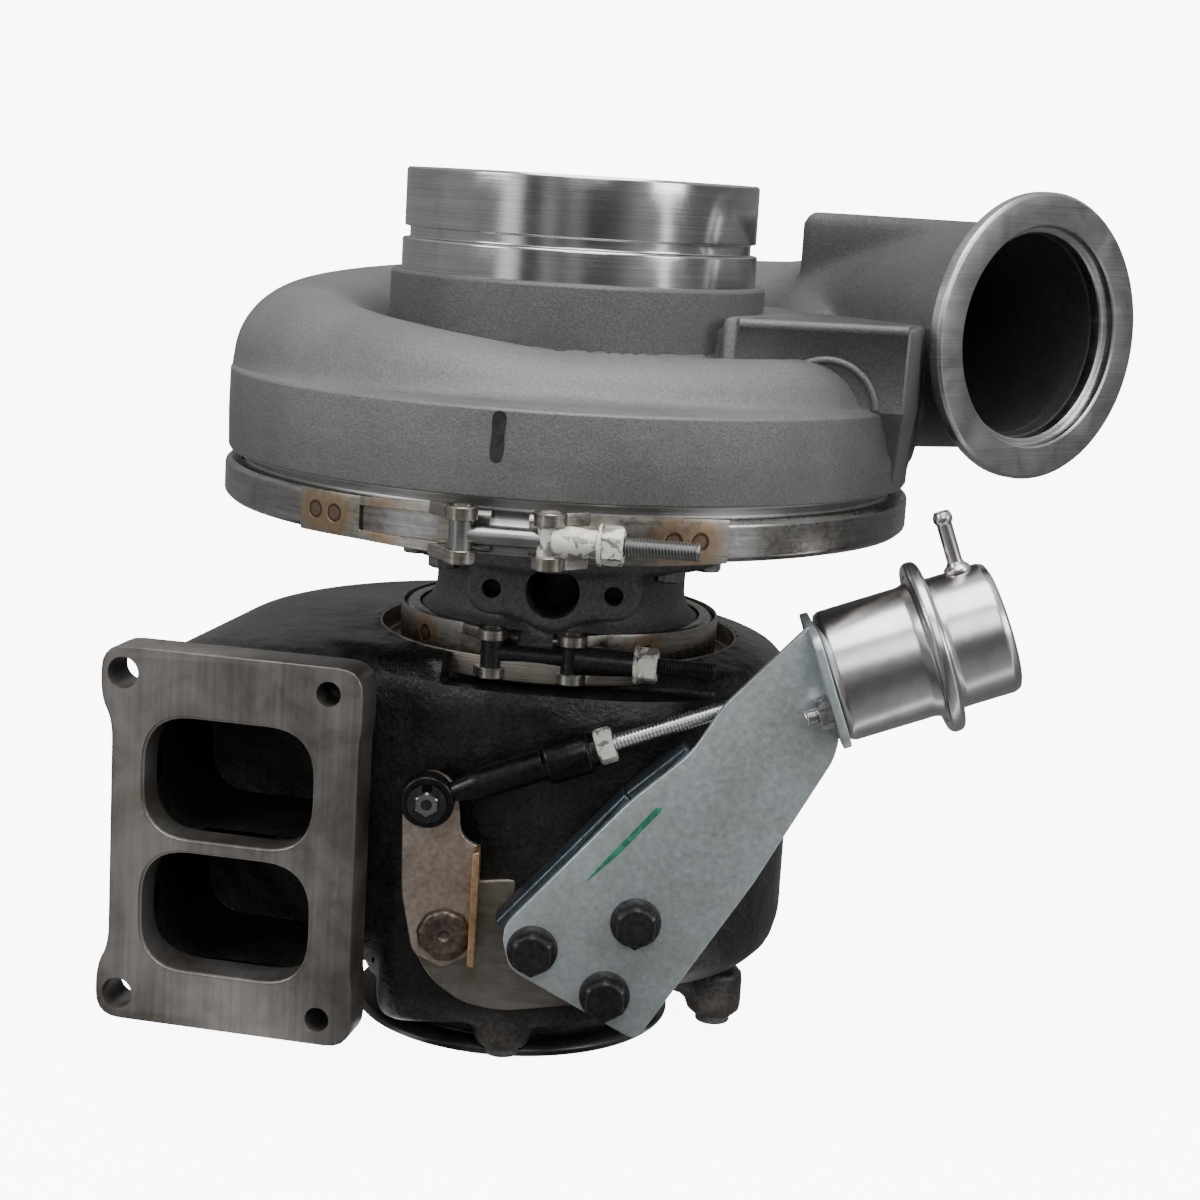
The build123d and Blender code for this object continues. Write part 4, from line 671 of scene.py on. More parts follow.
def cover_skin():
    """Round the axis, a half-section that joins the cover's own outline to the scroll's growing circle.
    Both are told as lengths from one inner point, and the longer one wins, softly."""
    angle = SCROLL_START - np.arange(0, 360, 1.5)
    share = np.clip((SCROLL_START - angle) / SCROLL_SWEEP, 0, 1)
    gap = np.clip((SCROLL_START - angle - SCROLL_SWEEP) / (360 - SCROLL_SWEEP), 0, 1)
    share = share * (1 - gap ** 2 * (3 - 2 * gap))
    centre, section, height = scroll_at(share)
    start = np.stack([88 + 0.5 * (centre - 88), 224 + 0.5 * (height - 224)], 1)
    body = soft_corners([(61, 211), (122.4, COVER_BASE_Z), (122.4, 238.7), (112, 241.6),
                         (90, 246.5), (70, 250.5), (61, 252)], [2, 1, 1.5, 6, 8, 3, 2], 5)
    turn = np.linspace(0, TAU, 96, endpoint=False)
    reach = reach_of(body, start, turn)
    # where a ray from start meets the circle
    dx, dz = (centre - start[:, 0])[:, None], (height - start[:, 1])[:, None]
    along = dx * np.cos(turn) + dz * np.sin(turn)
    inside = np.clip(along ** 2 - dx ** 2 - dz ** 2 + (section[:, None] - SKIN_GROWTH) ** 2, 0, None)
    reach = melt(reach, along + np.sqrt(inside), 4.0)
    r = start[:, :1] + reach * np.cos(turn)
    z = start[:, 1:] + reach * np.sin(turn)
    a = np.radians(angle)[:, None]
    return surface(np.stack([r * np.cos(a), r * np.sin(a), z], -1))


def tongue_hump(first=-82.0, last=-17.0, count=30):
    """The scroll's blunt first end: a round body along an arc, its crest nearly level, up to the web."""
    t = np.linspace(0, 1, count)
    angle = np.radians(first + (last - first) * t)
    centre = 89.5 + 10.0 * t ** 1.5
    section = 20.2 - 1.4 * t
    path = np.stack([centre * np.cos(angle), centre * np.sin(angle), 255.6 - section], 1)
    return swept(path, circle(1.0, 48)[None] * section[:, None, None])


def outlet_tube(first_r, last_r, first=-12.0, last=106.0, count=24):
    """A straight pipe that rises slowly and opens towards the flange."""
    run = np.linspace(first, last, count)
    t = np.clip(run / 106.0, 0, 1)
    low = scroll_at(1.0)[2]
    rise = low + (265.5 - low) * np.clip(run / 98.0, 0, 1)
    path = EXIT_OUT * CENTRE_LAST + EXIT_RUN * run[:, None] + np.array([0, 0, 1.0]) * rise[:, None]
    radius = first_r + (last_r - first_r) * t
    return swept(path, circle(1.0, 56)[None] * radius[:, None, None])


INLET_BORE = [(0.05, 199), (115.15, 199), (115.15, 217), (85, 217), (83, 222.1), (59.5, 222.1), (52, 226.6),
              (46.5, 239.6), (43.5, 251.6), (43.5, 268), (48.5, 276), (57, 290), (57, 330), (0.05, 330)]

cover = fused("compressor_cover", [
    cover_skin(),
    tongue_hump(),
    turned([(58, 243), (70.5, 246.5), (67.6, 253), (67.5, 275.4), (66.6, 276.2), (58, 276.2)], steps=160,
           corner=1.2),
    outlet_tube(36.5, 42.0),
    turned([(30, -22), (42.0, -17), (42.0, -9.4), (30, -9.4)], OUTLET, 96),
    prism([(52, -34), (119, -38), (123, -22), (125, 30), (60, 60)], 215, 263.5, edge=4, corner=6),
    prism([(72, 62), (137, 22), (146, 40), (84, 82)], 264, 304.5, edge=3, corner=4),
], 2.1, 5)
cut(cover, [turned(INLET_BORE, steps=160), outlet_tube(30.5, 36.5, -14, 125)])
finish_piece(cover, "housing", CAST_ALUMINIUM, ["compressor_housing"], 50)

piece("cover_wall", [turned([
    (115.3, 210.4), (122.9, 210.4), (123.6, 211.1), (123.9, 224), (123.6, 238.4), (122.9, 239.2), (119, 240.3),
    (115.3, 241.0)], steps=224, corner=0.25, bend=2)], "housing", CAST_ALUMINIUM)
WEB_TOP = [(60, -44), (124, -44), (126.5, -20), (127, 30), (60, 60)]
WEB_FOOT = [(60, -20), (120.5, -27), (122.5, -10), (122.5, 30), (60, 60)]
web_rows = []
for outline, drawn_in, height in ((WEB_FOOT, 0, 212.5), (WEB_TOP, 0, 239.5), (WEB_TOP, 0, 265.9), (WEB_TOP, 0.5, 267.0),
                                  (WEB_TOP, 1.6, 267.6)):
    ring = inset(soft_corners(outline, [4, 1.2, 3, 6, 6], 4), drawn_in)
    web_rows.append(np.column_stack([ring, np.full(len(ring), height)]))
web = bare_object("cover_web", [surface(np.array(web_rows[::-1]), wrap_rows=False, cap_rows=True),
                                swept([(66, -42.6, 266.0), (95, -42.6, 266.6), (123, -42.6, 267.1)],
                                      np.repeat(circle(1.9, 20)[None], 3, 0))])
cut(web, [turned([(0.05, 200), (66, 200), (66, 290), (0.05, 290)], steps=96), outlet_tube(31.5, 37, -14, 125)])
finish_piece(web, "housing", CAST_ALUMINIUM, (), 28)
lip_turn = np.radians(np.linspace(122, 4, 30))
piece("cover_web_lip", [swept(np.stack([97 + 17 * np.cos(lip_turn), 0 * lip_turn - 43.8, 239 + 17 * np.sin(lip_turn)], 1),
                              np.repeat(circle(1.35, 16)[None], 30, 0))], "housing", CAST_ALUMINIUM)
piece("cover_collar", [turned([(60, 248), (67.8, 248), (67.8, 275.3), (66.9, 276.4), (60, 276.4)], steps=192, corner=0.4)],
      "housing", CAST_COLLAR)
piece("cover_inlet_ring", [turned([
    (57.02, 270), (64.0, 270), (64.2, 276.3), (64.2, 286.9), (63.8, 287.5), (61.9, 287.6), (61.6, 288.0),
    (61.6, 291.0), (61.9, 291.4), (63.2, 291.5), (63.5, 291.9), (63.5, 311.4), (62.8, 312.2), (59.6, 312.2),
    (57.4, 309.0), (57.02, 306)], steps=192, corner=0.25, bend=2)],
    "housing", INLET_BAND)
piece("cover_rim", [turned([
    (115.2, 200.1), (121.5, 200.1), (122, 200.6), (122, 202), (117.9, 206.1), (117.5, 207), (117.5, 210.2),
    (123.2, 210.3), (123.2, 211.6), (115.2, 211.6)], steps=192, corner=0.2, bend=2)],
    "housing", RIM_ALUMINIUM)
piece("outlet_flange", [turned([
    (38.5, -14), (41.9, -14), (42.1, -9.6), (42.5, -9.0), (50.4, -5.6), (51, -4.6), (51, -1.1), (49.9, 0),
    (39.6, 0), (39, -0.6), (39, -3.6), (38.6, -4), (37.2, -4.2), (36.6, -4.8), (36.52, -9.0), (38.5, -9.5)], OUTLET, 160, corner=0.25,
    bend=2)], "housing", OUTLET_FACE)

# A near-black sheet just inside the outlet pipe's bore: painted shade for the pipe's inside.
pipe_inside = [outlet_tube(30.5 - gap, 36.5 - gap, -10, 105.5, 40)[0].reshape(40, -1, 3) for gap in (0.35, 0.05)]
piece("outlet_pipe_painted_shade", [surface(np.concatenate([pipe_inside[0], pipe_inside[1][::-1]]))], "housing",
      CAST_PAINTED_SHADE)

# ---------------------------------------------------------------- turbine housing
FLANGE_X, FLANGE_Y, FLANGE_Z = -89.0, -106.0, 80.5
PORT_W, PORT_H, PORT_GAP = 60.5, 42.5, 47.3
PORT_Z = FLANGE_Z - 1.3
OUTLET_X, OUTLET_Y = -10.0, -2.2
FLANGE = axes((FLANGE_X, FLANGE_Y, FLANGE_Z), (0, -1, 0), (1, 0, 0))
LUGS = ((0, -58), (68, 0), (0, 62))
BRACKET_HOLES = ((-2.9, 53.4), (31.6, 65.0), (22.6, 38.6))


def arc(centre, radius, first, last, count=24):
    a = np.radians(np.linspace(first, last, count))
    return np.stack([centre[0] + radius * np.cos(a), centre[1] + radius * np.sin(a)], 1)


def volute_plan(extra):
    """The volute seen from above: the duct's left side, then three arcs clockwise round the wheel."""
    left = -126.25 - extra
    rear_r = 106.25 + extra
    side_r = 110.0 + extra
    front_r = 70.75
    rear = arc((left + rear_r, 0), rear_r, 180, 90)
    side = arc((rear[-1, 0], rear[-1, 1] - side_r), side_r, 90, 0)
    front = arc((side[-1, 0] - front_r, side[-1, 1]), front_r, 0, -90)
    inner = -53.25 + extra
    return np.vstack([[(left, -94)], rear, side, front[1:], [(inner, front[-1, 1]), (inner, -94)]])


def rounded_box(width, height, radius, centre=(0, 0), steps=6):
    w, h = width / 2, height / 2
    x, y = centre
    return soft_corners([(x - w, y - h), (x + w, y - h), (x + w, y + h), (x - w, y + h)], radius, steps)


FLANGE_OUTLINE = soft_corners(
    [(-46.5, -66.5), (46.5, -66.5), (46.5, -46), (45.6, -41), (45.6, 41), (46.5, 46), (46.5, 66.5), (-46.5, 66.5),
     (-46.5, 48), (-42.2, 40), (-42.2, -40), (-46.5, -48)], [9, 9, 4, 4, 4, 4, 9, 9, 7, 7, 7, 7], 5)
PORTS = [rounded_box(PORT_W, PORT_H, 17, (0, PORT_Z - FLANGE_Z + side * PORT_GAP / 2), 8) for side in (-1, 1)]
WHEEL_SPACE = [(0.05, 160), (45.15, 160), (45.15, 134.5), (44.5, 134.5), (44.5, 124), (41.2, 118), (38.5, 109),
               (38.5, 92), (0.05, 92)]

turbine = fused("turbine_casting", [
    prism(volute_plan(0), 29, 146, edge=17),
    prism(rounded_box(80, 124, 16), -22, -15, FLANGE, 1),
    turned([(20, 4.2), (53, 4.2), (53, 12), (57.5, 15), (57.5, 34), (62, 46), (20, 46)],
           axes((OUTLET_X, OUTLET_Y, 0), (0, 0, 1), (1, 0, 0)), 96, corner=2),
    *[bar(10.5, 4.2, 22, axes((x, y, 0), (0, 0, 1), (1, 0, 0)), 1.5) for x, y in LUGS],
    *[prism([(x * .97 - y * .12, y * .97 + x * .12), (x * .97 + y * .12, y * .97 - x * .12),
             (y * .12, -x * .12), (-y * .12, x * .12)], 12, 34, edge=2) for x, y in LUGS],
    prism([(-58, 12), (12, 12), (40, 24), (44, 72), (-12, 92), (-58, 72)], 20, 66, GATE, 6, corner=10),
    *[bar(9.2, 50, 91.4, gate_at(u, z), 1.0) for u, z in BRACKET_HOLES],
    turned([(40, 126), (52, 126), (51.6, 143.1), (55, 146.5), (55, 148.4), (40, 148.4)], steps=128),
    turned([(56, 130), (76, 130), (73, 145.5), (67, 147.3), (66.2, 147), (66.2, 138), (56, 138)], steps=128,
           corner=1.5),
], 2.1, 4)
cut(turbine, [
    turned(WHEEL_SPACE, steps=96),
    turned([(51.6, 139), (66, 139), (66, 162), (55, 162), (55, 146.5), (51.6, 143.1)], steps=128),
    prism([(-26, -90), (80, -90), (80, -50), (40, -52), (0, -60), (-26, -60)], 137, 162, edge=2, corner=6),
    stacked([(0, 0, 95, 38.5), (0, 0, 94.5, 38.5), (OUTLET_X, OUTLET_Y, 1, 44), (OUTLET_X, OUTLET_Y, 0, 44)]),
    prism([(-60, 14), (-20, 14), (-20, 64), (-48, 64), (-60, 52)], 31, 61, GATE, 3, corner=6),
    *[prism(port, -64, 2, FLANGE, 0.5) for port in PORTS],
])
finish_piece(turbine, "housing", TURBINE_IRON, ["turbine_housing"], 50)

flange = bare_object("inlet_flange", [prism(FLANGE_OUTLINE, -16.5, 0, FLANGE, 0.9)])
cut(flange, [*[prism(port, -30, 0, FLANGE, 0.1) for port in PORTS],
             *[prism(inset(port, -0.9), -0.9, 3, FLANGE, 0.8) for port in PORTS],
             *[bar(radius, -20, 3, shifted(FLANGE, side * 36.5 - 1.9, up * 57.2), 0.1)
               for side, radius in ((-1, 5.5), (1, 4.3)) for up in (-1, 1)]])
finish_piece(flange, "housing", FLANGE_IRON, (), 30)

boss = bare_object("wastegate_boss", [prism(
    [(-46.5, 47), (-38, 33), (-27, 25), (-13, 22.5), (12, 26), (36, 27), (42, 40), (40, 70), (-4, 72), (-24, 70),
     (-46.5, 66)], 60, 74, GATE, 1.0, corner=5)])
finish_piece(boss, "housing", BOSS_IRON, (), 30)
piece("clamp_seat", [turned([(52, 139.02), (65.8, 139.02), (66.3, 139.6), (66.3, 147.1), (65.7, 147.1), (65.5, 140.2),
                             (65.0, 139.5), (52, 139.4)], steps=160, corner=0.2, bend=2)],
      "housing", SEAT_IRON)
ring_axis = axes((OUTLET_X, OUTLET_Y, 0), (0, 0, 1), (1, 0, 0))
piece("outlet_rim", [turned([(48, 0), (58.9, 0), (59.8, 0.9), (59.8, 2.4), (58.4, 4.0), (48, 4.0)], ring_axis, 160,
                            corner=0.3, bend=2)],
      "housing", RIM_IRON, ["outlet_ring"])
piece("outlet_lug_plugs", [turned([(0.05, 0.5), (4.6, 0.5), (6.2, 0.9), (6.5, 1.4), (6.5, 4.1), (4.9, 4.3), (4.9, 16),
                                   (0.05, 16)], axes((x, y, 0), (0, 0, 1), (1, 0, 0)), 48, corner=0.3, bend=2)
                           for x, y in LUGS], "housing", CORE_IRON, ["lug_studs"])

# ---------------------------------------------------------------- centre section
CORE_BOLTS = [-81 + side * step for step in (48, 82, 116, 150) for side in (-1, 1)]
PAD = axes((0, 0, 169.5), around(-81), (np.sin(np.radians(81)), np.cos(np.radians(81)), 0))


def slot_outline(spacing, height, middle_r, steps=16):
    """Two half rounds joined by a larger round in the middle: the reach at each angle is the longest of
    the three circles and the bar between them."""
    a = np.linspace(0, TAU, 96, endpoint=False)
    c, s = np.abs(np.cos(a)), np.abs(np.sin(a))
    end_r, offset = height / 2, spacing / 2
    end = offset * c + np.sqrt(np.clip(end_r ** 2 - (offset * s) ** 2, 0, None))
    end = np.where(offset * s <= end_r, end, 0)
    flat = np.minimum(end_r / np.maximum(s, 1e-6), offset / np.maximum(c, 1e-6))
    reach = melt(np.maximum(end, flat), np.full_like(a, middle_r), 5.0)
    return np.stack([reach * np.cos(a), reach * np.sin(a)], 1)


core = fused("bearing_core", [
    turned([(9, 146), (45, 146), (45, 148.5), (55, 148.5), (55, 150.5), (51.6, 153.9), (48, 156.5), (46, 162),
            (46, 173), (58, 176), (62, 178), (62, 186), (9, 186)], steps=128, corner=0.6, bend=2),
    prism(slot_outline(42.7, 19, 14), 30, 55, PAD, 1.2),
    bar(14, 30, 55, axes((0, 0, 169.5), around(99), (1, 0, 0)), 1.5),
], 1.3, 3)
cut(core, [turned([(0.05, 140), (11.3, 140), (11.3, 153.5), (12.04, 153.5), (12.04, 180), (18, 180), (18, 190),
                   (0.05, 190)], steps=64),
           turned([(20, 157), (30, 157), (30, 174), (20, 174)], steps=64),
           bar(9.5, 21, 60, PAD, 0.1), bar(7, 25, 60, axes((0, 0, 169.5), around(99), (1, 0, 0)), 0.1),
           *[bar(3.4, 41, 60, shifted(PAD, side * 21.35), 0.1) for side in (-1, 1)],
           *[bar(7.6, 166, 178, axes(around(spot, 54), (0, 0, 1), (1, 0, 0)), 0.3) for spot in CORE_BOLTS]])
finish_piece(core, "housing", CORE_IRON, ["bearing_housing"], 45)
piece("core_bolts", [part for spot in CORE_BOLTS for part in (
    hexagon(10, 172.8, 177.4, axes(around(spot, 54), (0, 0, 1), around(spot))),
    bar(6.4, 177.3, 178.02, axes(around(spot, 54), (0, 0, 1), (1, 0, 0)), 0.2),
    bar(3.4, 178, 200, axes(around(spot, 54), (0, 0, 1), (1, 0, 0)), 0.2))],
      "housing", TURNED_STEEL, ["backplate_bolts"])

# ---------------------------------------------------------------- clamps
def band(first, last, low, high, radius, thick, joint, steps=64):
    """A strip bent round the axis: a rounded rectangle carried along an arc. Its height may change from
    one end to the other."""
    t = np.linspace(0, 1, steps)
    angle = np.radians(CLAMP_ANGLE + first + (last - first) * t)
    path = np.stack([radius * np.cos(angle), radius * np.sin(angle), np.full(steps, joint)], 1)
    low_t = np.interp(t, np.linspace(0, 1, len(low)), low)
    high_t = np.interp(t, np.linspace(0, 1, len(high)), high)
    base = soft_corners([(-thick / 2, 0), (thick / 2, 0), (thick / 2, 1), (-thick / 2, 1)], [0.3] * 4, 2)
    sections = np.repeat(base[None], steps, 0)
    sections[..., 1] = low_t[:, None] + np.clip(base[None, :, 1], 0, 1) * (high_t - low_t)[:, None]
    return swept(path, sections)


def clamp(prefix, joint, rim_r, slope, half, stand_off, spans, nut_at, bolt_end, bolt_finish):
    """A V-shaped ring in two halves, a strap with two loops, and the bolt that draws them together."""
    out, run = around(CLAMP_ANGLE), around(CLAMP_ANGLE + 90)
    r = rim_r + 2.6
    seat = rim_r - slope + 0.45
    profile = np.array([(rim_r + 0.45, -2), (rim_r + 0.45, 2), (seat, 2 + slope - 0.05), (seat, half - 0.1),
                        (r - 1.9, half), (r - 0.25, half - 1.5), (r, half - 2.3), (r, 2.3 - half), (r - 0.25, 1.5 - half),
                        (r - 1.9, -half), (seat, 0.1 - half), (seat, -2 - slope + 0.05)])
    profile = soft_corners(profile, 0.25, 2)
    halves = []
    for start in (0, 180):
        angle = np.radians(CLAMP_ANGLE + start + np.linspace(np.degrees(6.2 / r), 180 - np.degrees(6.2 / r), 96))
        p = profile[None]
        grid = np.stack([p[..., 0] * np.cos(angle)[:, None], p[..., 0] * np.sin(angle)[:, None],
                         joint + p[..., 1] + 0 * angle[:, None]], -1)
        halves.append(surface(grid[::-1], wrap_rows=False, cap_rows=True))
    piece(prefix + "_ring", halves, "housing", RING_STEEL, [prefix + "_retainer"])
    strap_r = r + 0.75
    tall, short = half + 1.2, half + 0.2
    strips = []
    bolt_r = rim_r + stand_off
    bolt = axes(out * bolt_r + np.array([0, 0, joint]), run, out)
    for first, last in spans:
        near, far = (first, last) if abs(first) < abs(last) else (last, first)
        if abs(far) > 90:
            strips.append(band(near, far, [-tall, -short, -short, -short], [tall, short, short, short], strap_r, 1.2,
                               joint, 128))
            continue
        split = (-10.5, -23.6) if prefix.startswith("comp") and near < 0 else None
        if split:
            strips.append(band(near, split[0], [-tall, -tall], [tall, tall], strap_r, 1.2, joint, 16))
            strips.append(band(split[0], split[1], [-tall, -short], [-4.6, -4.0], strap_r, 1.2, joint, 24))
            strips.append(band(split[0], split[1], [4.6, 4.0], [tall, short], strap_r, 1.2, joint, 24))
            strips.append(band(split[1], far, [-short, -short], [short, short], strap_r, 1.2, joint, 24))
        else:
            strips.append(band(near, far, [-tall, -tall, -short], [tall, tall, short], strap_r, 1.2, joint, 40))
    for s in (-14.0, 14.0):
        side = np.sign(s)
        centre = place([0, 0, s], bolt)
        post = axes((centre[0], centre[1], joint), (0, 0, 1), out)
        for low, high in ((-tall - 1, -4.7), (4.7, tall + 1)):
            strips.append(turned([(3.9, low), (5.0, low), (5.2, low + 0.3), (5.2, high - 0.3), (5.0, high),
                                  (3.9, high)], post, 40))
            strips.append(prism([(strap_r - 0.2, s + side * 2.5), (bolt_r, s + side * 4), (bolt_r, s + side * 5.2),
                                 (strap_r + 0.4 - 0.004 * strap_r, s + side * 12)], low, high,
                                axes((0, 0, joint), (0, 0, 1), out), 0.3, corner=1.0))
    piece(prefix + "_straps", strips, "housing", STRAP_STEEL, [prefix + "_strap"])
    posts = [axes(np.array([*place([0, 0, s], bolt)[:2], joint]), (0, 0, 1), out) for s in (-14.0, 14.0)]
    piece(prefix + "_bolt", [bar(3.8, -tall, tall, posts[0], 0.5), bar(2.95, -14, 34, bolt, 0.2),
                             screw(3.1, 1.0, 33.5, bolt_end, bolt)], "housing", bolt_finish,
          [prefix + "_t_bolt"])
    piece(prefix + "_barrel", [bar(3.8, -tall, tall, posts[1], 0.5),
                               turned([(3.2, 14), (5.6, 15.5), (5.4, 17), (4.4, nut_at - 2), (4.4, nut_at), (3.2, nut_at)],
                                      bolt, 40, corner=0.3, bend=2)],
          "housing", PAINTED_NUT if prefix.startswith("comp") else bolt_finish,
          [prefix + "_trunnion"])
    piece(prefix + "_lock_nut", [turned([(3.2, nut_at), (6.4, nut_at), (6.6, nut_at + 0.3), (6.6, nut_at + 1.1),
                                         (5.6, nut_at + 1.3), (3.2, nut_at + 1.3)], bolt, 48),
                                 hexagon(11, nut_at + 1.2, nut_at + 8, bolt, 3.15)],
          "housing", PAINTED_NUT, [prefix + "_nut"])


clamp("compressor_clamp", 200.0, 122.0, 3.5, 6.8, 10.0, [(6.6, 32.6), (-35.5, -6.6)], 29.5, 61.0, TURNED_STEEL)
clamp("turbine_clamp", 148.5, 55.0, 3.4, 6.4, 9.0, [(15, 170), (-170, -15)], 36.0, 64.0, BLACK_STEEL)

# ---------------------------------------------------------------- wastegate lever and rod
lever_plate = [(-44.5, 45), (-49.0, 66), (-50, 95), (-48, 106), (-40, 110.5), (-33, 107), (-30.5, 98), (-29.5, 88.5),
               (-26.5, 85.5), (-22.4, 84), (-22.4, 46), (-34, 39.5)]
EYE = gate_at(*LEVER_EYE)
SPINDLE_AXIS = gate_at(*SPINDLE)
piece("lever_plate", [prism(lever_plate, 77, 80, GATE, 0.5, corner=3.0)], "wastegate", TAN_STEEL,
      ["wastegate_lever"])
piece("lever_return", [prism([(-25.0, 43.5), (-22.5, 43), (-22.5, 84.6), (-25.0, 84.0)], 77.6, 88, GATE, 0.5, corner=0.8)],
      "wastegate", GOLD_EDGE)
piece("pin_socket", [hexagon(7.4, 93.3, 94.1, EYE, 1.9)], "wastegate", TURNED_STEEL)
a = np.linspace(0, TAU, 48, endpoint=False)[:, None]
bead = soft_corners([(0.05, 80), (9.2, 80), (9.5, 80.8), (8.4, 82.2), (6.4, 82.6), (4.2, 82.0), (1.9, 81.9),
                     (1.4, 81.2), (0.05, 81.1)], 0.5, 3)
wave = 1 + 0.018 * np.sin(9 * a) * (bead[None, :, 0] > 6)
weld = np.stack([bead[None, :, 0] * wave * np.cos(a), bead[None, :, 0] * wave * np.sin(a),
                 bead[None, :, 1] + 0.12 * np.sin(13 * a) * (bead[None, :, 0] > 5) * (bead[None, :, 1] > 81)], -1)
piece("spindle_weld", [surface(place(weld, SPINDLE_AXIS))], "wastegate", WELD_STEEL, ["lever_weld"])
piece("eye_pin", [turned([(0.05, 75.1), (6.2, 75.1), (6.5, 75.4), (6.5, 77), (4, 77), (4, 91.8), (3.25, 91.95),
                          (3.25, 92.9), (4, 93.05), (4, 93.2), (3.4, 93.5), (0.05, 93.5)], EYE, 48)],
      "wastegate", BLACK_STEEL, ["lever_pin"])
rod_body = [(0.05, 6), (2.0, 6.4), (3.2, 8.5), (5.2, 17), (5.45, 19), (5.45, 41), (7.2, 42.4), (7.6, 43.2), (7.6, 56.6),
            (7.2, 57.4), (6.0, 58.0), (5.6, 60), (0.05, 60)]
piece("rod_eye", [turned([(4.05, 83), (8.4, 83), (9.2, 83.9), (9.2, 90.1), (8.4, 91), (6.2, 91), (5.6, 90.6),
                          (4.05, 90.6)], EYE, 64, corner=0.3, bend=2),
                  turned(rod_body, ROD, 64, corner=0.4, bend=2)],
      "actuator_rod_set", BLACK_GLOSS, ["rod_end"])
piece("rod_lock_nut", [hexagon(11, 60.05, 66, ROD, 3.02)], "actuator_rod_set", PAINTED_NUT, ["jam_nut"])
piece("rod_shaft", [screw(3.0, 1.25, 60.5, 112, ROD, 0.28), bar(2.95, 103, 183, ROD, 0.3)], "actuator_rod_set",
      ROD_STEEL, ["actuator_rod"])

# ---------------------------------------------------------------- actuator
CAN, CAN_END = 141.6, 202.1
piece("can_body", [turned([(5.5, CAN), (19.5, CAN), (21.6, CAN + 0.6), (22.5, CAN + 2.4), (22.5, 171.6), (23.4, 174.4),
                           (25.5, 175.6), (27.8, 175.6), (27.8, 176.9), (24.9, 176.9), (22.4, 175.2), (21.5, 172),
                           (21.5, CAN + 3.1), (20.6, CAN + 1.2), (5.5, CAN + 1.0)], ROD, 128, corner=0.6, bend=3)],
      "housing", CAN_STEEL, ["actuator_body"])
piece("can_cap", [turned([(27.8, 177.9), (27.8, 179.2), (25.0, 179.2), (23.0, 180.4), (22.5, 182.4), (22.5, CAN_END - 3.0),
                          (21.6, CAN_END - 0.8), (19.6, CAN_END), (16.2, CAN_END), (15.6, CAN_END - 0.5),
                          (0.05, CAN_END - 0.5), (0.05, CAN_END - 1.4), (19.6, CAN_END - 1.4), (21.5, CAN_END - 3.4),
                          (21.5, 181.6), (23.6, 177.9)],
                         ROD, 128, corner=0.5, bend=3)],
      "housing", CAN_STEEL, ["actuator_cap"])
piece("can_crimp", [turned([(27.9, 175.5), (25.5, 175.5), (25.5, 174.9), (28.0, 174.5), (29.5, 175.9), (29.5, 178.9),
                            (28.0, 180.2), (25.5, 179.9), (25.5, 179.3), (27.9, 179.3)], ROD, 160, corner=1.0, bend=4)],
      "housing", CAN_STEEL, ["crimp_ring"])
NIPPLE = axes(place([0, 0, 192.4], ROD), np.cross(OUT, ROD_RUN) * -1, OUT)
if NIPPLE[1][2][2] < 0:
    NIPPLE = axes(NIPPLE[0], -NIPPLE[1][2], OUT)
piece("hose_barb", [turned([(1.5, 19.5), (2.35, 19.5), (2.35, 22.3), (4.6, 22.3), (4.4, 23.6), (3.4, 24.4), (2.6, 25.8),
                            (2.6, 38.8), (2.9, 39.4), (3.3, 40.0), (3.3, 41.3), (2.6, 43.0), (1.5, 43.0)], NIPPLE, 48,
                           corner=0.25, bend=2)],
      "housing", CAN_STEEL, ["hose_nipple"])
stud_axes = [shifted(ROD, x, y) for x, y in ((15.6, 7.0), (-15.6, -7.0))]
piece("can_studs", [screw(2.9, 0.9, CAN - 12, CAN - 0.02, where) for where in stud_axes], "housing",
      ROD_STEEL, ["actuator_studs"])
piece("can_nuts", [hexagon(10, CAN - 7.8, CAN - 3.02, where, 2.95) for where in stud_axes], "housing",
      ROD_STEEL, ["stud_nuts"])

# ---------------------------------------------------------------- bracket
FOOT = [(-14.2, 59.9), (-10.1, 45.8), (34.2, 22.5), (70.4, 80.7), (94.2, 125.2), (95.5, 131.8)]
NECK = [(56.9, 142.7), (46.4, 124.9), (27.2, 107.4)]


def rod_point_on_gate(height):
    p = place([0, height, CAN - 1.5], ROD)
    return float(p @ ACROSS), float(p[2])


tab_ends = [rod_point_on_gate(h) for h in (13, -21)]
if tab_ends[0][1] > tab_ends[1][1]:
    tab_ends = tab_ends[::-1]
plate_line = FOOT + tab_ends + NECK
edge_strips = []
for first, last in zip([FOOT[0], NECK[2]], [NECK[2], NECK[1]]):
    along = unit(np.subtract(last, first))
    outward = np.array([-along[1], along[0]]) * 2.6
    inward = -outward
    edge_strips.append(prism([first + outward, last + outward, last + inward, first + inward], 80, 92.6, GATE, 1.2,
                             corner=0.8))
tab = soft_corners([(-23, -20), (23, -20), (23, 20), (-23, 20)], 6, 6)
bracket = bare_object("bracket_plate", [prism(plate_line, 92, 95, GATE, 0.6, corner=[6, 4, 4, 3, 3, 2, 2, 2, 3, 5, 6])])
finish_piece(bracket, "housing", ZINC, ["actuator_bracket"], 30)
# The bent-back edge strip is coloured dark as painted shade.
piece("bracket_edge", edge_strips, "housing", ZINC_PAINTED_SHADE)
tab_piece = bare_object("bracket_tab", [prism(tab, CAN - 3, CAN - 0.02, ROD, 0.5)])
cut(tab_piece, [bar(7, CAN - 10, CAN + 4, ROD, 0.1)])
finish_piece(tab_piece, "housing", ZINC, (), 30)
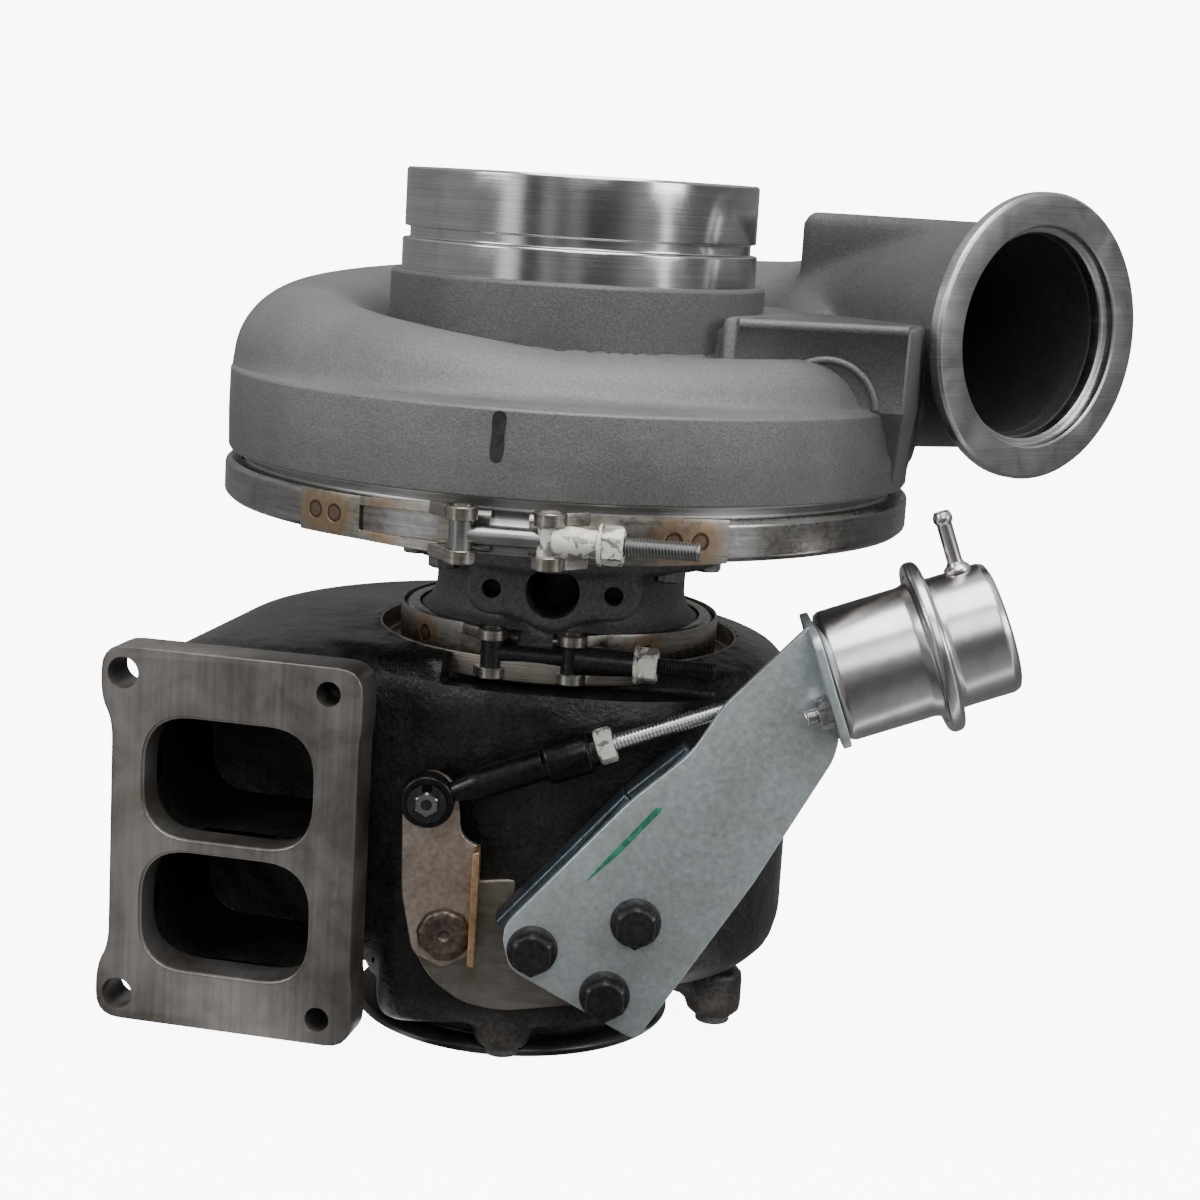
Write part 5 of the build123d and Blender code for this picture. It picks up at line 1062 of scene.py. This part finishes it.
piece("flange_bolts", [part for u, z in BRACKET_HOLES for part in (
    turned([(0.05, 95), (8.4, 95), (8.7, 95.3), (8.6, 96.0), (6.9, 97.0), (0.05, 97.0)], gate_at(u, z), 56),
    hexagon(13, 96, 102.5, gate_at(u, z)),
    turned([(3.2, 102.4), (5.0, 102.4), (5.0, 102.75), (3.2, 102.75)], gate_at(u, z), 48),
    bar(3.95, 78, 95, gate_at(u, z), 0.3))], "housing", BLACK_STEEL, ["bracket_bolts"])

# ---------------------------------------------------------------- paint strokes
t = np.linspace(0, 1, 40)[:, None]
width = 2.1 * np.sqrt(1.02 - np.abs(2 * t - 1) ** 10) + 0.12 * np.sin(11 * t)
arc_at = np.radians(-88.3 - 0.25 * t) + (np.linspace(-1, 1, 9)[None] * width) / 123.9
stroke = np.stack([124.02 * np.cos(arc_at), 124.02 * np.sin(arc_at), 238.4 - 16.4 * t + 0 * arc_at], -1)
inner = np.stack([123.2 * np.cos(arc_at), 123.2 * np.sin(arc_at), 238.4 - 16.4 * t + 0 * arc_at], -1)
loop = np.concatenate([stroke, inner[:, ::-1]], 1)
piece("marker_stroke", [surface(loop, wrap_rows=False, cap_rows=True)], "housing", MARKER)
green = [(13.9, 78.8), (14.7, 79.0), (24.9, 89.2), (37.6, 104.4), (37.9, 105.6), (36.6, 106.0), (35.6, 105.2), (23.4, 90.6)]
piece("paint_stroke", [prism(green, 94.9, 95.12, GATE, 0.05, corner=0.8)], "housing", GREEN_PAINT)

# ---------------------------------------------------------------- light, floor and camera
# White and dark boards stand round the object, out of the camera's sight: (share of a turn, brightness).
BOARDS = [(0.0, 0.7), (0.13, 0.6), (0.150, 3.0), (0.168, 2.3), (0.180, 0.25), (0.205, 0.2), (0.225, 0.8), (0.250, 0.3),
          (0.275, 0.65), (0.300, 0.15), (0.345, 0.25), (0.385, 0.65), (0.425, 0.65), (0.437, 5.0), (0.450, 0.65),
          (0.50, 0.35), (1.0, 0.6)]
SKY_LOW, SKY_HIGH = 0.30, 0.75
BACKDROP = 9.0


def boards_seen(tree, direction):
    """The boards' brightness by the angle of a direction about z."""
    turn = tree.nodes.new("ShaderNodeTexGradient")
    turn.gradient_type = "RADIAL"
    tree.links.new(direction, turn.inputs["Vector"])
    band = tree.nodes.new("ShaderNodeValToRGB")
    while len(band.color_ramp.elements) < len(BOARDS):
        band.color_ramp.elements.new(0.5)
    for element, (at, level) in zip(band.color_ramp.elements, BOARDS):
        element.position, element.color = at, (level, level, level, 1)
    tree.links.new(turn.outputs["Fac"], band.inputs["Fac"])
    return band.outputs["Color"]


scene = bpy.context.scene
world = bpy.data.worlds.new("studio")
scene.world = world
world.use_nodes = True
sky = world.node_tree
background = sky.nodes["Background"]
background.inputs["Strength"].default_value = 1.0
direction = sky.nodes.new("ShaderNodeTexCoord").outputs["Generated"]
split = sky.nodes.new("ShaderNodeSeparateXYZ")
sky.links.new(direction, split.inputs[0])
fade = sky.nodes.new("ShaderNodeValToRGB")
for element, (at, level) in zip(fade.color_ramp.elements, ((0.0, SKY_LOW), (1.0, SKY_HIGH))):
    element.position, element.color = at, (level, level, level, 1)
sky.links.new(split.outputs["Z"], fade.inputs["Fac"])


def sky_mix(amount, a, b, kind="MIX"):
    node = sky.nodes.new("ShaderNodeMix")
    node.data_type, node.blend_type = "RGBA", kind
    for socket, value in ((node.inputs[0], amount), (node.inputs[6], a), (node.inputs[7], b)):
        if isinstance(value, float):
            socket.default_value = value
        elif isinstance(value, tuple):
            socket.default_value = value
        else:
            sky.links.new(value, socket)
    return node.outputs[2]


low_only = sky.nodes.new("ShaderNodeMapRange")
low_only.inputs["From Min"].default_value = 0.30
low_only.inputs["From Max"].default_value = 0.16
sky.links.new(split.outputs["Z"], low_only.inputs["Value"])
boards_in_sky = sky_mix(1.0, boards_seen(sky, direction), (0.5, 0.5, 0.5, 1.0), "MULTIPLY")
around_colour = sky_mix(low_only.outputs["Result"], fade.outputs["Color"], boards_in_sky)
sky.links.new(sky_mix(sky.nodes.new("ShaderNodeLightPath").outputs["Is Camera Ray"], around_colour,
                      (BACKDROP, BACKDROP, BACKDROP, 1.0)), background.inputs["Color"])


def soft_light(name, place_at, aim, size, power):
    lamp = bpy.data.lights.new(name, "AREA")
    lamp.shape, lamp.size, lamp.energy = "SQUARE", size, power
    thing = bpy.data.objects.new(name, lamp)
    scene.collection.objects.link(thing)
    away = np.asarray(place_at, float) - np.asarray(aim, float)
    where = axes(place_at, away, np.cross([0.02, 0.01, 1.0], away))
    thing.matrix_world = Matrix([[*where[1][:, row], where[0][row]] for row in range(3)] + [[0, 0, 0, 1]])
    return thing


soft_light("overhead", (0.10, -0.30, 1.25), (0, 0, 0.2), 0.9, 15.5)
soft_light("front", (0.40, -1.45, 1.05), (0, 0, 0.1), 0.8, 6.0)
soft_light("front_left", (-1.1, -1.0, 0.85), (0, 0, 0.2), 0.6, 7.0)
soft_light("right_side", (1.2, -0.5, 0.7), (0, 0, 0.2), 0.5, 5.0)

# The floor is pale. What glossy metal mirrors of it is split into darker and lighter strips round the object,
# as dark and white boards lying on it would do.
floor_mesh = bpy.data.meshes.new("floor")
floor_mesh.from_pydata([(-9, -9, 0), (9, -9, 0), (9, 9, 0), (-9, 9, 0)], [], [(0, 1, 2, 3)])
floor = bpy.data.objects.new("floor", floor_mesh)
scene.collection.objects.link(floor)
floor_paint = Finish("pale_floor", 0.0, 0.85, 0.2)
paint_tree = floor_paint.tree
floor_paint.colour(floor_paint.ramp(floor_paint.noise(3.0), [(0.3, 0.84), (0.7, 0.87)]))
floor_paint.shader.inputs["Emission Color"].default_value = (1, 1, 1, 1)
floor_paint.shader.inputs["Emission Strength"].default_value = BACKDROP - 0.7
mirrored = paint_tree.nodes.new("ShaderNodeEmission")
mirrored.inputs["Strength"].default_value = 0.5
floor_paint.link(boards_seen(paint_tree, floor_paint.place), mirrored.inputs["Color"])
choice = paint_tree.nodes.new("ShaderNodeMixShader")
floor_paint.link(paint_tree.nodes.new("ShaderNodeLightPath").outputs["Is Camera Ray"], choice.inputs[0])
floor_paint.link(mirrored.outputs[0], choice.inputs[1])
floor_paint.link(floor_paint.shader.outputs[0], choice.inputs[2])
floor_paint.link(choice.outputs[0], paint_tree.nodes["Material Output"].inputs["Surface"])
floor_mesh.materials.append(floor_paint.material)

CAMERA_AT = (0.16628, -0.78506, 0.30708)
YAW, PITCH, ROLL = np.radians(11.96 - 1.06), np.radians(10.55), np.radians(3.44)
ahead = np.array([-np.sin(YAW) * np.cos(PITCH), np.cos(YAW) * np.cos(PITCH), -np.sin(PITCH)])
level = np.array([np.cos(YAW), np.sin(YAW), 0.0])
over = np.cross(level, ahead)
right = level * np.cos(ROLL) + over * np.sin(ROLL)
top = -level * np.sin(ROLL) + over * np.cos(ROLL)
camera = bpy.data.objects.new("camera", bpy.data.cameras.new("camera"))
camera.data.lens = 65.6
camera.data.sensor_width = 36.0
camera.matrix_world = Matrix([[right[i], top[i], -ahead[i], CAMERA_AT[i]] for i in range(3)] + [[0, 0, 0, 1]])
scene.collection.objects.link(camera)
scene.camera = camera
